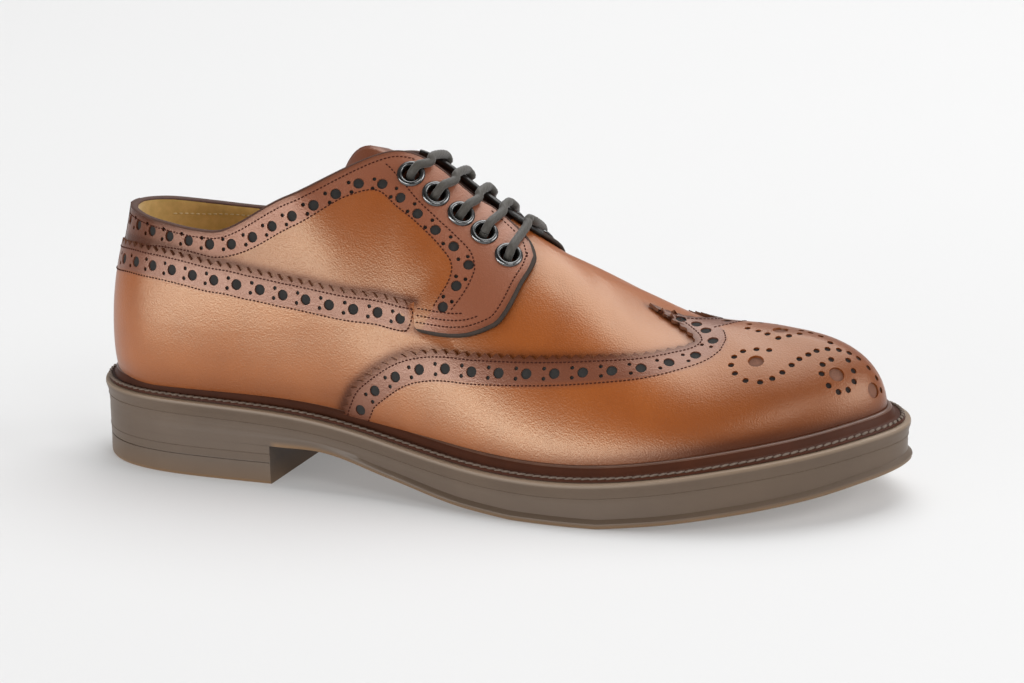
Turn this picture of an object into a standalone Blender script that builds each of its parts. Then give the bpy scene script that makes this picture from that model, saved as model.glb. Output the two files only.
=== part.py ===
"""A full-brogue derby shoe for the right foot, standing empty on its sole.

Sizes below are in millimetres and become metres where a mesh is made. In the
tables x runs from the back of the heel to the toe, the lateral side of the
foot is -Y and the medial side +Y, and the floor is z = 0.
"""

from collections import namedtuple

import bmesh
import bpy
import numpy as np
from mathutils import Matrix, Vector

MM = 0.001
CENTRE_X = 155.2    # middle of the shoe's length, which becomes x = 0
CENTRE_Y = -0.55    # middle of its width, which becomes y = 0

# Driving sizes
GAP = 0.3           # between pieces that touch
SEAT = 0.6          # between the upper and the panels that follow its curves
WALL = 2.0          # upper: leather and lining
PANEL = 1.2         # wing cap and quarters
FOXING = 1.6        # heel foxing, a little thicker than the quarters it borders
STRIP = 0.8         # strip over the back seam
TONGUE = 2.0
INSOLE = 3.0
LACE_RADIUS = 1.7
EYELET_BORE = 3.1   # radius of the hole that the lace runs through
EYELET_BARREL = 3.6
EYELET_FLANGE = 4.75
MIDSOLE = 8.0       # depth of the midsole below its lip
BREAST_X = 81.5     # front face of the heel
LIFT = 8.0          # height of the heel's top lift
HEEL_TOP = 14.5     # underside of the outsole above the heel

# The shoe is described at stations from the heel to the toe, on both sides
Station = namedtuple("Station", "x lateral medial lip inset tread flare")
PLAN = (
    # half widths and height of the midsole's lip, upper's distance in from it,
    # height of the tread, and how far the tread's edge stands out from the lip
    Station(0.0, -2.0, 2.0, 28.6, 6.5, 14.5, -1.8),
    Station(9.0, 20.0, 24.0, 28.7, 6.8, 14.5, -1.8),
    Station(28.0, 32.0, 35.7, 28.8, 7.4, 14.5, -1.8),
    Station(55.0, 36.7, 37.0, 28.6, 8.4, 14.5, -1.8),
    Station(95.0, 39.0, 35.0, 26.7, 9.4, 14.3, -1.2),
    Station(130.0, 43.5, 35.0, 21.3, 10.2, 7.6, -0.2),
    Station(165.0, 52.0, 44.0, 16.5, 10.5, 1.4, 0.4),
    Station(200.0, 57.6, 53.3, 15.6, 10.5, -0.7, 0.4),
    Station(232.0, 56.0, 56.8, 18.2, 10.5, 1.7, 0.4),
    Station(262.0, 47.2, 52.4, 22.3, 10.5, 5.6, 0.4),
    Station(286.0, 32.4, 41.2, 25.5, 10.4, 9.2, 0.4),
    Station(302.0, 15.3, 26.2, 27.8, 10.2, 12.4, 0.4),
    Station(310.0, -5.0, 5.0, 28.6, 10.0, 14.0, 0.4),
)
# Where the upper ends above each station: collar, then lacing edge, then the
# ridge of the vamp, with the slopes there along the shoe and across it; along the
# vamp itself the slope follows from the ridge
Crest = namedtuple("Crest", "x lateral_y medial_y lateral_z medial_z slope cross")
CREST = (
    Crest(15.0, 1.5, 1.5, 93.5, 93.5, 0.0, 0.0),
    Crest(20.0, -11.0, 14.0, 93.3, 92.2, 0.0, 0.0),
    Crest(35.0, -21.0, 23.5, 92.0, 89.2, 0.0, 0.0),
    Crest(58.0, -26.0, 27.0, 90.6, 87.3, 0.0, 0.0),
    Crest(88.0, -25.5, 27.0, 105.0, 101.5, 0.0, 0.0),
    Crest(123.0, -5.0, 9.0, 118.3, 115.0, -0.3, 0.0),
    Crest(152.0, -1.0, 7.0, 100.4, 100.4, -0.6, 0.0),
    Crest(180.0, 3.0, 3.0, 83.8, 83.8, -0.53, 0.02),
    Crest(204.0, 2.0, 2.0, 71.7, 71.7, -0.48, 0.08),
    Crest(226.0, 0.8, 0.8, 61.2, 61.2, -0.2, 0.17),
    Crest(244.0, -0.2, -0.2, 58.5, 58.5, -0.06, 0.25),
    Crest(256.0, -0.5, -0.5, 57.9, 57.9, -0.02, 0.3),
    Crest(262.0, -0.2, -0.2, 57.8, 57.8, 0.0, 0.32),
)
# Handles of each section's curve: lean and rise leave the sole, reach and drop
# leave the crest
Swell = namedtuple("Swell", "lean rise reach drop medial_lean medial_rise medial_reach medial_drop")
SWELL = (
    Swell(5.0, 22.0, 5.0, 26.0, 5.0, 22.0, 5.0, 26.0),
    Swell(5.5, 22.0, 6.0, 26.0, 5.5, 22.0, 6.0, 26.0),
    Swell(5.5, 22.0, 6.0, 26.0, 5.5, 22.0, 6.0, 26.0),
    Swell(5.5, 22.0, 6.0, 26.0, 4.5, 22.0, 6.0, 26.0),
    Swell(5.0, 22.0, 9.0, 28.0, 2.0, 24.0, 8.0, 30.0),
    Swell(5.0, 22.0, 22.0, 18.0, 0.0, 26.0, 18.0, 22.0),
    Swell(4.5, 20.0, 26.0, 9.0, 1.0, 24.0, 22.0, 11.0),
    Swell(4.0, 18.0, 28.0, 1.0, 3.0, 20.0, 26.0, 1.0),
    Swell(4.0, 18.0, 30.0, 0.0, 4.0, 18.0, 30.0, 0.0),
    Swell(3.5, 18.0, 28.0, 0.0, 4.0, 18.0, 30.0, 0.0),
    Swell(3.0, 18.5, 26.0, 0.0, 3.5, 18.5, 27.0, 0.0),
    Swell(2.5, 19.0, 25.0, 0.0, 3.0, 19.0, 26.0, 0.0),
    Swell(2.0, 19.0, 25.0, 0.0, 2.0, 19.0, 25.0, 0.0),
)
TOE = len(PLAN) - 1      # station number of the toe
ROUND = 2 * TOE          # stations all the way round

# Edges of the panels, as a station number and a share of the section's height
Edge = namedtuple("Edge", "station height")
FOXING_TOP = (
    Edge(0.0, 0.815), Edge(0.6, 0.82), Edge(1.5, 0.855), Edge(2.2, 0.873), Edge(2.9, 0.865),
    Edge(3.5, 0.767), Edge(4.0, 0.65), Edge(4.5, 0.556), Edge(5.0, 0.51), Edge(5.25, 0.503),
)
FACING_LOW = (
    Edge(5.3, 0.44), Edge(5.6, 0.457), Edge(5.95, 0.51), Edge(6.26, 0.574),
    Edge(6.47, 0.66), Edge(6.62, 0.77), Edge(6.68, 0.84),
)
FACING_HIGH = (Edge(5.3, 1.0), Edge(6.2, 1.0), Edge(6.4, 0.965), Edge(6.55, 0.93), Edge(6.68, 0.87))
WING_SIDE = (
    Edge(4.37, 0.095), Edge(4.55, 0.2), Edge(4.85, 0.288), Edge(5.2, 0.35), Edge(5.64, 0.408),
    Edge(6.1, 0.445), Edge(6.56, 0.478), Edge(7.23, 0.522), Edge(7.98, 0.593), Edge(8.57, 0.682),
    Edge(9.0, 0.79),
)
WING_PEAK = (Edge(8.5, 1.0), Edge(8.7, 0.93), Edge(8.88, 0.866), Edge(9.0, 0.81))
BEAD_CLEAR = 0.09        # panels start this share of a section up, above the welt's bead
EYELETS = (
    Edge(5.17, 0.91), Edge(5.46, 0.88), Edge(5.77, 0.875), Edge(6.07, 0.858), Edge(6.37, 0.812),
)

# Station lines that divide the curved pieces: close together where the form turns
# most, from the collar's dip to the throat
SIDE_LINES = np.concatenate([np.arange(0.0, 3.5, 0.45), np.arange(3.6, 6.7, 0.2), np.arange(6.8, 12.1, 0.4)])
STATIONS = np.concatenate([SIDE_LINES, ROUND - SIDE_LINES[-2::-1]])
ROUND_STEPS = len(STATIONS) - 1
UPPER_STEPS = 9

Finish = namedtuple("Finish", "colour roughness metallic")
FINISHES = {
    "tan_leather": Finish((0.50, 0.16, 0.045), 0.38, 0.0),
    "brown_leather": Finish((0.30, 0.095, 0.04), 0.4, 0.0),
    "insole_leather": Finish((0.42, 0.22, 0.09), 0.7, 0.0),
    "welt_leather": Finish((0.075, 0.022, 0.01), 0.3, 0.0),
    "sole_rubber": Finish((0.155, 0.125, 0.1), 0.45, 0.0),
    "eyelet_enamel": Finish((0.012, 0.013, 0.015), 0.25, 0.6),
    "lace_cotton": Finish((0.085, 0.075, 0.058), 0.75, 0.0),
}


# Curves through the stations


def hermite(values, slopes):
    """A closed curve through evenly spaced values with these slopes."""
    count = len(values)

    def curve(station):
        station = np.asarray(station, float) % count
        before = np.floor(station).astype(int) % count
        after = (before + 1) % count
        t = station - np.floor(station)
        return (
            values[before] * (1 + 2 * t) * (1 - t) ** 2
            + slopes[before] * t * (1 - t) ** 2
            + values[after] * t * t * (3 - 2 * t)
            + slopes[after] * t * t * (t - 1)
        )

    return curve


def smooth(values):
    """A closed cubic spline: no break in curvature."""
    count = len(values)
    rows = np.arange(count)
    system = 4 * np.eye(count)
    system[rows, (rows + 1) % count] = 1
    system[rows, (rows - 1) % count] = 1
    slopes = np.linalg.solve(system, 3 * (np.roll(values, -1) - np.roll(values, 1)))
    return hermite(values, slopes)


def steady(values):
    """A closed curve that never overshoots its values."""
    step = np.roll(values, -1) - values
    before = np.roll(step, 1)
    same_way = step * before > 0
    slopes = np.where(same_way, 2 * step * before / np.where(same_way, step + before, 1), 0)
    return hermite(values, slopes)


def column(table, lateral, medial=None, kind=smooth, mirror=False):
    """The curve of one column, up the lateral side to the toe and back down the medial side."""
    near = np.array([getattr(row, lateral) for row in table], float)
    far = np.array([getattr(row, medial or lateral) for row in table], float)
    if mirror:
        near = -near
        near[0], near[-1] = far[0], far[-1]
    return kind(np.concatenate([near, far[-2:0:-1]]))


lip_x = column(PLAN, "x")
lip_y = column(PLAN, "lateral", "medial", mirror=True)
lip_z = column(PLAN, "lip")
inset = column(PLAN, "inset")
tread_curve = column(PLAN, "tread", kind=steady)
flare = column(PLAN, "flare", kind=steady)
crest_x = column(CREST, "x")
crest_y = column(CREST, "lateral_y", "medial_y", kind=steady)
crest_z = column(CREST, "lateral_z", "medial_z", kind=steady)
slope = column(CREST, "slope", kind=steady)
cross = column(CREST, "cross", kind=steady)
lean = column(SWELL, "lean", "medial_lean")
rise = column(SWELL, "rise", "medial_rise")
reach = column(SWELL, "reach", "medial_reach")
drop = column(SWELL, "drop", "medial_drop")


def tread_z(station):
    """Underside of the outsole, flat on the floor under the ball of the foot."""
    return np.maximum(tread_curve(station), 0.0)


def outline(station, out):
    """Plan of the lip moved out by a distance, and its outward directions."""
    tiny = 1e-3
    dx = lip_x(station + tiny) - lip_x(station - tiny)
    dy = lip_y(station + tiny) - lip_y(station - tiny)
    away = np.stack([dy, -dx], -1) / np.hypot(dx, dy)[..., None]
    plan = np.stack([lip_x(station), lip_y(station)], -1)
    return plan + away * np.asarray(out)[..., None], away


def ridge_slope(station):
    """Slope along the vamp's ridge, so that its two sides meet without a crease."""
    near_toe = station + np.where(station % ROUND < TOE, -0.02, 0.02)
    run = crest_x(near_toe) - crest_x(station)
    rise_along = crest_z(near_toe) - crest_z(station)
    rise_across = cross(station) * (crest_y(near_toe) - crest_y(station))
    on_vamp = np.clip(TOE - 6 - np.abs(station % ROUND - TOE), 0, 1)
    return slope(station) + ((rise_along - rise_across) / run - slope(station)) * on_vamp


def last(station, height):
    """Outside of the upper: a cubic section from the sole (0) to the crest (1)."""
    station, height = np.broadcast_arrays(np.asarray(station, float), np.asarray(height, float))
    plan, away = outline(station, -inset(station))
    foot = np.concatenate([plan, (lip_z(station) + GAP)[..., None]], -1)
    top = np.stack([crest_x(station), crest_y(station), crest_z(station)], -1)
    across = plan - top[..., :2]
    across = across / np.linalg.norm(across, axis=-1, keepdims=True)
    swell = np.concatenate([away * lean(station)[..., None], rise(station)[..., None]], -1)
    steepness = ridge_slope(station) * across[..., 0] + cross(station) * across[..., 1]
    fall = steepness * reach(station) - drop(station)
    bend = np.concatenate([across * reach(station)[..., None], fall[..., None]], -1)
    t = height[..., None]
    low = foot * (1 - t) ** 3 + (foot + swell) * 3 * t * (1 - t) ** 2
    return low + (top + bend) * 3 * t * t * (1 - t) + top * t ** 3


def last_normal(station, height):
    tiny = 1e-3
    height = np.clip(height, 0.0, 0.998)
    along = last(station + tiny, height) - last(station - tiny, height)
    up = last(station, height + tiny) - last(station, height - tiny)
    normal = np.cross(along, up)
    return normal / np.linalg.norm(normal, axis=-1, keepdims=True)


def skin(station, height, off):
    """The last's surface moved out by a distance."""
    station, height = np.broadcast_arrays(np.asarray(station, float), np.asarray(height, float))
    return last(station, height) + last_normal(station, height) * off


def edge_height(edges, station):
    """Height of a panel's edge at any station between its points."""
    return np.interp(station, [edge.station for edge in edges], [edge.height for edge in edges])


# Meshes


def metres(points):
    return (np.asarray(points, float) - (CENTRE_X, CENTRE_Y, 0.0)) * MM


def add_grid(bm, points):
    """A grid of faces through rows of points."""
    rows, columns = points.shape[:2]
    made = bmesh.ops.create_grid(bm, x_segments=columns - 1, y_segments=rows - 1, size=1.0)
    for vertex, point in zip(made["verts"], metres(points.reshape(-1, 3))):
        vertex.co = point


def weld(bm, near=0.001):
    bmesh.ops.remove_doubles(bm, verts=bm.verts, dist=near * MM)
    bmesh.ops.dissolve_degenerate(bm, dist=1e-6, edges=bm.edges)
    bmesh.ops.recalc_face_normals(bm, faces=bm.faces)


def finish_material(name):
    material = bpy.data.materials.get(name)
    if material:
        return material
    material = bpy.data.materials.new(name)
    material.use_nodes = True
    shader = material.node_tree.nodes["Principled BSDF"]
    look = FINISHES[name]
    shader.inputs["Base Color"].default_value = (*look.colour, 1.0)
    shader.inputs["Roughness"].default_value = look.roughness
    shader.inputs["Metallic"].default_value = look.metallic
    return material


def add_object(name, bm, finish, collection):
    mesh = bpy.data.meshes.new(name)
    bm.to_mesh(mesh)
    bm.free()
    mesh.shade_smooth()
    mesh.set_sharp_from_angle(angle=0.6)
    if finish:
        mesh.materials.append(finish_material(finish))
    obj = bpy.data.objects.new(name, mesh)
    collection.objects.link(obj)
    return obj


def faces_outward(bm):
    """Turns an open shell so that its faces look away from the middle of the foot."""
    bmesh.ops.recalc_face_normals(bm, faces=bm.faces)
    middle = Vector(metres((150.0, 0.0, 45.0)))
    agree = sum(face.normal.dot(face.calc_center_median() - middle) for face in bm.faces)
    if agree < 0:
        bmesh.ops.reverse_faces(bm, faces=bm.faces)


def shell(name, grids, thickness, finish, collection, near=0.001):
    """A panel: its outer face as one open surface, thickened inwards."""
    bm = bmesh.new()
    for points in grids:
        add_grid(bm, points)
    weld(bm, near)
    faces_outward(bm)
    obj = add_object(name, bm, finish, collection)
    wall = obj.modifiers.new("Wall", "SOLIDIFY")
    wall.thickness = thickness * MM
    wall.offset = -1.0
    return obj


def stack(name, rings, finish, collection, front=None):
    """A solid through rings round the shoe, closed above and below, and cut off at front."""
    bm = bmesh.new()
    add_grid(bm, np.stack(rings))
    half = ROUND_STEPS // 2
    for ring in (rings[0], rings[-1]):
        add_grid(bm, np.stack([ring[: half + 1], ring[half:][::-1]], 1))
    weld(bm)
    if front is not None:
        everything = bm.verts[:] + bm.edges[:] + bm.faces[:]
        cut = metres((front, 0.0, 0.0))
        bmesh.ops.bisect_plane(bm, geom=everything, plane_co=cut, plane_no=(1, 0, 0), clear_outer=True)
        bmesh.ops.holes_fill(bm, edges=[edge for edge in bm.edges if edge.is_boundary])
        bmesh.ops.recalc_face_normals(bm, faces=bm.faces)
    return add_object(name, bm, finish, collection)


def ring(out, height):
    """Points round the sole, out from the lip's line, at a height."""
    plan, _ = outline(STATIONS, out)
    return np.column_stack([plan, np.broadcast_to(height, len(STATIONS))])


# Bottom of the shoe


def make_sole(parts):
    lip = lip_z(STATIONS)
    tread = tread_z(STATIONS)
    edge = flare(STATIONS)
    side = -1.9                       # the side below the lip stands in from it
    # distance out from the lip's line and depth below its top
    lip_profile = ((-0.9, 0.0), (0.0, 0.8), (0.0, 2.4), (side, 3.6), (side, MIDSOLE - GAP))
    midsole = [ring(np.full(ROUND_STEPS + 1, out), lip - depth) for out, depth in lip_profile]
    stack("midsole", midsole, "sole_rubber", parts)

    top = lip - MIDSOLE
    bevel = 1.8
    waist = ring(np.full(ROUND_STEPS + 1, side - 0.5), top * 0.45 + (tread + bevel) * 0.55)
    outsole = [
        ring(np.full(ROUND_STEPS + 1, side), top),
        waist,
        ring(edge, tread + bevel),
        ring(edge - 1.3, tread),
    ]
    stack("outsole", outsole, "sole_rubber", parts)

    seat = HEEL_TOP - GAP
    heel = [ring(np.full(ROUND_STEPS + 1, out), z) for out, z in ((side, seat), (side - 0.1, LIFT + GAP))]
    stack("heel", heel, "sole_rubber", parts, front=BREAST_X)
    lift_profile = ((side - 0.1, LIFT), (side + 0.2, 1.4), (side - 0.6, 0.0))
    lift = [ring(np.full(ROUND_STEPS + 1, out), z) for out, z in lift_profile]
    stack("top_lift", lift, "sole_rubber", parts, front=BREAST_X)


def make_insole(parts):
    inside = -(inset(STATIONS) + WALL + 2 * GAP)
    low = lip_z(STATIONS) + GAP
    stack("insole", [ring(inside, low + INSOLE), ring(inside, low)], "insole_leather", parts)


def make_welt(parts):
    """A strip on the midsole round the upper, with a raised bead against it."""
    width = inset(STATIONS)
    low = lip_z(STATIONS)
    # share of the way in from the lip to the upper, step back from the upper, height
    profile = (
        (0.36, 0.0, GAP), (0.36, 0.0, 1.6), (0.61, 0.0, 1.7), (0.66, 0.0, 4.1),
        (1.0, 1.6, 4.6), (1.0, 0.6, GAP), (0.36, 0.0, GAP),
    )
    rings = [ring(back - share * width, low + up) for share, back, up in profile]
    bm = bmesh.new()
    add_grid(bm, np.stack(rings))
    weld(bm)
    add_object("welt", bm, "welt_leather", parts)


# Upper and its panels


def make_upper(parts):
    heights = np.linspace(0, 1, UPPER_STEPS + 1)
    points = last(STATIONS[:, None], heights[None, :])
    # the vamp runs across below the throat
    below_throat = SIDE_LINES[(SIDE_LINES > 6.3) & (SIDE_LINES < 7.3)]
    bridge = last(np.stack([below_throat, ROUND - below_throat], 1), 1.0)
    shell("upper", [points, bridge], WALL, "tan_leather", parts)


def station_lines(first, final):
    """The upper's own station lines between two stations, with both ends."""
    inner = SIDE_LINES[(SIDE_LINES > first + 0.02) & (SIDE_LINES < final - 0.02)]
    return np.concatenate([[first], inner, [final]])


def side_of(stations, medial):
    """The same stations on the medial side, counted on round the toe."""
    return ROUND - stations if medial else stations


def panel_grid(stations, low, high, steps, off, medial=False):
    share = np.linspace(0, 1, steps + 1) ** 0.85
    heights = low[:, None] + (high - low)[:, None] * share[None, :]
    return skin(side_of(stations, medial)[:, None], heights, off)


def make_quarter(name, parts, medial):
    """Collar and facing, from the back seam to the rounded front of the facing."""
    off = SEAT + PANEL
    seam = 0.03
    back = station_lines(seam, FOXING_TOP[-1].station)
    foot = edge_height(FOXING_TOP, back) + 0.008
    front = station_lines(FACING_LOW[0].station, FACING_LOW[-1].station)
    grids = (
        panel_grid(back, foot, np.ones_like(back), 5, off, medial),
        panel_grid(
            np.array([back[-1], front[0]]),
            np.array([foot[-1], FACING_LOW[0].height]),
            np.ones(2), 5, off, medial,
        ),
        panel_grid(front, edge_height(FACING_LOW, front), edge_height(FACING_HIGH, front), 5, off, medial),
    )
    return shell(name, grids, PANEL, "brown_leather", parts)


def make_foxing(parts):
    """Counter round the heel, its top edge running forward to the facings."""
    end = FOXING_TOP[-1].station
    start = WING_SIDE[0].station - 0.02
    stations = np.sort(np.append(station_lines(0.0, end), (start, start + 0.01, WING_SIDE[1].station)))
    wing = np.where(stations > start, edge_height(WING_SIDE, stations) + 0.008, 0.0)
    low = np.maximum(wing, BEAD_CLEAR)
    high = edge_height(FOXING_TOP, stations)
    grids = [panel_grid(stations, low, high, 5, SEAT + FOXING, medial) for medial in (False, True)]
    shell("heel_foxing", grids, FOXING, "tan_leather", parts)


def make_back_strip(parts):
    """Narrow strip over the seam where the quarters meet."""
    half_width = 0.24
    stations = np.linspace(0, half_width, 3)
    low = edge_height(FOXING_TOP, stations) + 0.02
    off = SEAT + PANEL + GAP + STRIP
    grids = [panel_grid(stations, low, np.ones(3), 3, off, medial) for medial in (False, True)]
    shell("back_strip", grids, STRIP, "brown_leather", parts)


def make_wing(parts):
    """Toe cap with wings back along both sides and a peak up the middle."""
    off = SEAT + PANEL
    valley = WING_SIDE[-1].station
    sides = station_lines(WING_SIDE[0].station, valley)
    toe = station_lines(valley, TOE)
    peak = np.linspace(WING_PEAK[0].station, valley, 4)
    split = (WING_SIDE[-1].height + WING_PEAK[-1].height) / 2
    low_toe, split_toe = np.full_like(toe, BEAD_CLEAR), np.full_like(toe, split)
    low_side = np.minimum(BEAD_CLEAR, edge_height(WING_SIDE, sides))
    high_side = edge_height(WING_SIDE[:-1] + (Edge(valley, split),), sides)
    low_peak = edge_height(WING_PEAK[:-1] + (Edge(valley, split),), peak)
    grids = []
    for medial in (False, True):
        grids += [
            panel_grid(sides, low_side, high_side, 6, off, medial),
            panel_grid(toe, low_toe, split_toe, 6, off, medial),
            panel_grid(toe, split_toe, np.ones_like(toe), 3, off, medial),
            panel_grid(peak, low_peak, np.ones_like(peak), 3, off, medial),
        ]
    shell("wing_cap", grids, PANEL, "tan_leather", parts, near=0.3)


def make_tongue(parts):
    """Plate under the lacing edges, with its free end arched up behind them."""
    off = -(WALL + 2 * GAP)
    stations = np.linspace(7.2, 5.0, 7)
    heights = np.linspace(0.7, 1.0, 4)
    lateral = skin(stations[:, None], heights[None, :], off)
    medial = skin(ROUND - stations[:, None], heights[None, ::-1], off)
    rows = np.concatenate([lateral, medial], 1)
    # the free end follows the last row up and back, and its sides draw in
    middle = rows[-1].mean(0)
    lift = np.array([-7.5, 0.0, 2.6])
    free = [rows[-1] + (middle - rows[-1]) * (0.06 * k * k, 0.05 * k * k, 0.02) + lift * k for k in (1, 2)]
    shell("tongue", [np.concatenate([rows, np.stack(free)])], TONGUE, "brown_leather", parts)


# Lacing


def eyelet_frame(edge, medial):
    """Centre of an eyelet on the quarter's outer face, and its axis."""
    station = ROUND - edge.station if medial else edge.station
    return skin(station, edge.height, SEAT + PANEL), last_normal(station, edge.height)


def eyelet_matrix(edge, medial):
    centre, axis = eyelet_frame(edge, medial)
    turn = Vector((0, 0, 1)).rotation_difference(Vector(axis)).to_matrix().to_4x4()
    return Matrix.Translation(metres(centre)) @ turn


def make_eyelet(name, edge, medial, parts):
    """A turned metal eyelet: a flange on the facing and a barrel through it."""
    top = 1.0
    profile = (
        (EYELET_BORE, top), (EYELET_FLANGE, top - 0.4), (EYELET_BARREL, GAP),
        (EYELET_BARREL, -PANEL), (EYELET_BORE, -PANEL),
    )
    bm = bmesh.new()
    vertices = [bm.verts.new((radius * MM, 0, z * MM)) for radius, z in profile]
    for number, vertex in enumerate(vertices):
        bm.edges.new((vertex, vertices[(number + 1) % len(vertices)]))
    obj = add_object(name, bm, "eyelet_enamel", parts)
    obj.matrix_world = eyelet_matrix(edge, medial)
    turned = obj.modifiers.new("Turned", "SCREW")
    turned.steps = turned.render_steps = 8
    turned.use_merge_vertices = True
    turned.merge_threshold = 1e-5


def make_eyelet_cutter(name, medial, cutters):
    """Punches for the five eyelets of one side, through the quarter."""
    bm = bmesh.new()
    radius = (EYELET_BARREL + GAP + 0.2) * MM
    for edge in EYELETS:
        bmesh.ops.create_cone(
            bm, cap_ends=True, segments=8, radius1=radius, radius2=radius, depth=5 * MM,
            matrix=eyelet_matrix(edge, medial),
        )
    obj = add_object(name, bm, None, cutters)
    obj.hide_render = True
    obj.display_type = "WIRE"
    return obj


def punch(obj, cutter):
    cut = obj.modifiers.new("Eyelets", "BOOLEAN")
    cut.operation = "DIFFERENCE"
    cut.object = cutter


def smooth_route(points, count):
    """Evenly spread points on a smooth curve through the route's own points."""
    points = np.asarray(points, float)
    padded = np.concatenate([[2 * points[0] - points[1]], points, [2 * points[-1] - points[-2]]])
    route = []
    for place in np.linspace(0, len(points) - 1, count):
        k = min(int(place), len(points) - 2)
        t = place - k
        a, b, c, d = padded[k: k + 4]
        route.append(0.5 * (2 * b + (c - a) * t + (2 * a - 5 * b + 4 * c - d) * t * t
                            + (3 * b - a - 3 * c + d) * t ** 3))
    return np.array(route)


def lace_route(edge):
    """From inside the lateral eyelet, up over its flange, across the throat, into the medial one."""
    above = 1.0 + GAP + LACE_RADIUS + 0.2     # centre line where it clears the flange
    sides = []
    for medial in (False, True):
        station = ROUND - edge.station if medial else edge.station
        centre, axis = eyelet_frame(edge, medial)
        inward = skin(station, edge.height + 0.03, SEAT + PANEL) - centre
        inward = inward / np.linalg.norm(inward)
        rising = [centre + inward * along + axis * up for along, up in ((-0.2, 0.2), (0.5, 2.1), (2.6, above))]
        to_edge = 1.0 - edge.height
        resting = [skin(station, edge.height + share * to_edge, SEAT + PANEL + above) for share in (0.6, 1.0)]
        sides.append(rising + resting)
    return sides[0] + sides[1][::-1]


def make_lace_bar(name, edge, parts):
    curve = bpy.data.curves.new(name, "CURVE")
    curve.dimensions = "3D"
    curve.bevel_depth = LACE_RADIUS * MM
    curve.bevel_resolution = 1
    curve.use_fill_caps = True
    points = metres(smooth_route(lace_route(edge), 9))
    spline = curve.splines.new("POLY")
    spline.points.add(len(points) - 1)
    for spot, point in zip(spline.points, points):
        spot.co = (*point, 1.0)
    curve.materials.append(finish_material("lace_cotton"))
    obj = bpy.data.objects.new(name, curve)
    parts.objects.link(obj)


def make_lacing(parts, cutters, quarters):
    for side, medial in (("lateral", False), ("medial", True)):
        cutter = make_eyelet_cutter(f"eyelet_punch_{side}", medial, cutters)
        punch(quarters[side], cutter)
        for number, edge in enumerate(EYELETS, 1):
            make_eyelet(f"eyelet_{side}_{number}", edge, medial, parts)
    for number, edge in enumerate(EYELETS, 1):
        make_lace_bar(f"lace_bar_{number}", edge, parts)


def new_collection(name):
    collection = bpy.data.collections.new(name)
    bpy.context.scene.collection.children.link(collection)
    return collection


def main():
    for obj in list(bpy.data.objects):
        bpy.data.objects.remove(obj, do_unlink=True)
    parts = new_collection("derby_shoe")
    cutters = new_collection("cutters")
    make_sole(parts)
    make_insole(parts)
    make_welt(parts)
    make_upper(parts)
    quarters = {
        "lateral": make_quarter("quarter_lateral", parts, False),
        "medial": make_quarter("quarter_medial", parts, True),
    }
    make_foxing(parts)
    make_back_strip(parts)
    make_wing(parts)
    make_tongue(parts)
    make_lacing(parts, cutters, quarters)


main()
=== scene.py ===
# %% [markdown]
# # A derby shoe, dressed for its portrait
#
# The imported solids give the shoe's true form: a hollow upper on its last, panels laid over it,
# a welt and a moulded rubber sole. This lesson puts the shoemaker's finish on them: panels with
# pinked edges and punched holes, stitches, a corded lace and burnished leather. Every new piece
# is laid on the same curves as the solids, so nothing has to be fitted by eye.

# %% The frame
import math
from collections import namedtuple

import bmesh
import bpy
import numpy as np
from mathutils import Matrix, Vector, kdtree


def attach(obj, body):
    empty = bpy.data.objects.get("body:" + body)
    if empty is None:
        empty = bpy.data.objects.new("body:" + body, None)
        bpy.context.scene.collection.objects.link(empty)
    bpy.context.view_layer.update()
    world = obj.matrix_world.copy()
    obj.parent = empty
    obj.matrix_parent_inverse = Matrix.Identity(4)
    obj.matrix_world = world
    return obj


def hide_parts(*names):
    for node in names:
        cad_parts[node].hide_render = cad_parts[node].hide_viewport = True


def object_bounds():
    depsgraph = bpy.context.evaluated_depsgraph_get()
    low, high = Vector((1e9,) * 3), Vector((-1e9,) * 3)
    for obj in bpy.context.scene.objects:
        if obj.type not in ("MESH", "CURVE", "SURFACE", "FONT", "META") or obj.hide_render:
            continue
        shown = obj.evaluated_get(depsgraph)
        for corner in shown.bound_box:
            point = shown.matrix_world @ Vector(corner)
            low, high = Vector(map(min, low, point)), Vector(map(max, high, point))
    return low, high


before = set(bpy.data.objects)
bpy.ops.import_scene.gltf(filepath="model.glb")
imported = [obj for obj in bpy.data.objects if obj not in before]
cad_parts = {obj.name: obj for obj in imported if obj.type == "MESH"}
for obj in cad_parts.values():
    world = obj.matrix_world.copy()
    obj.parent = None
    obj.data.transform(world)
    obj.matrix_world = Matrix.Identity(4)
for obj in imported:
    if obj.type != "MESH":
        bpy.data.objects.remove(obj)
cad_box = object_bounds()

MM = 0.001
rounded_box = [[round(float(value), 4) for value in corner] for corner in cad_box]
print(len(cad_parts), "solids, box", rounded_box)
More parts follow.
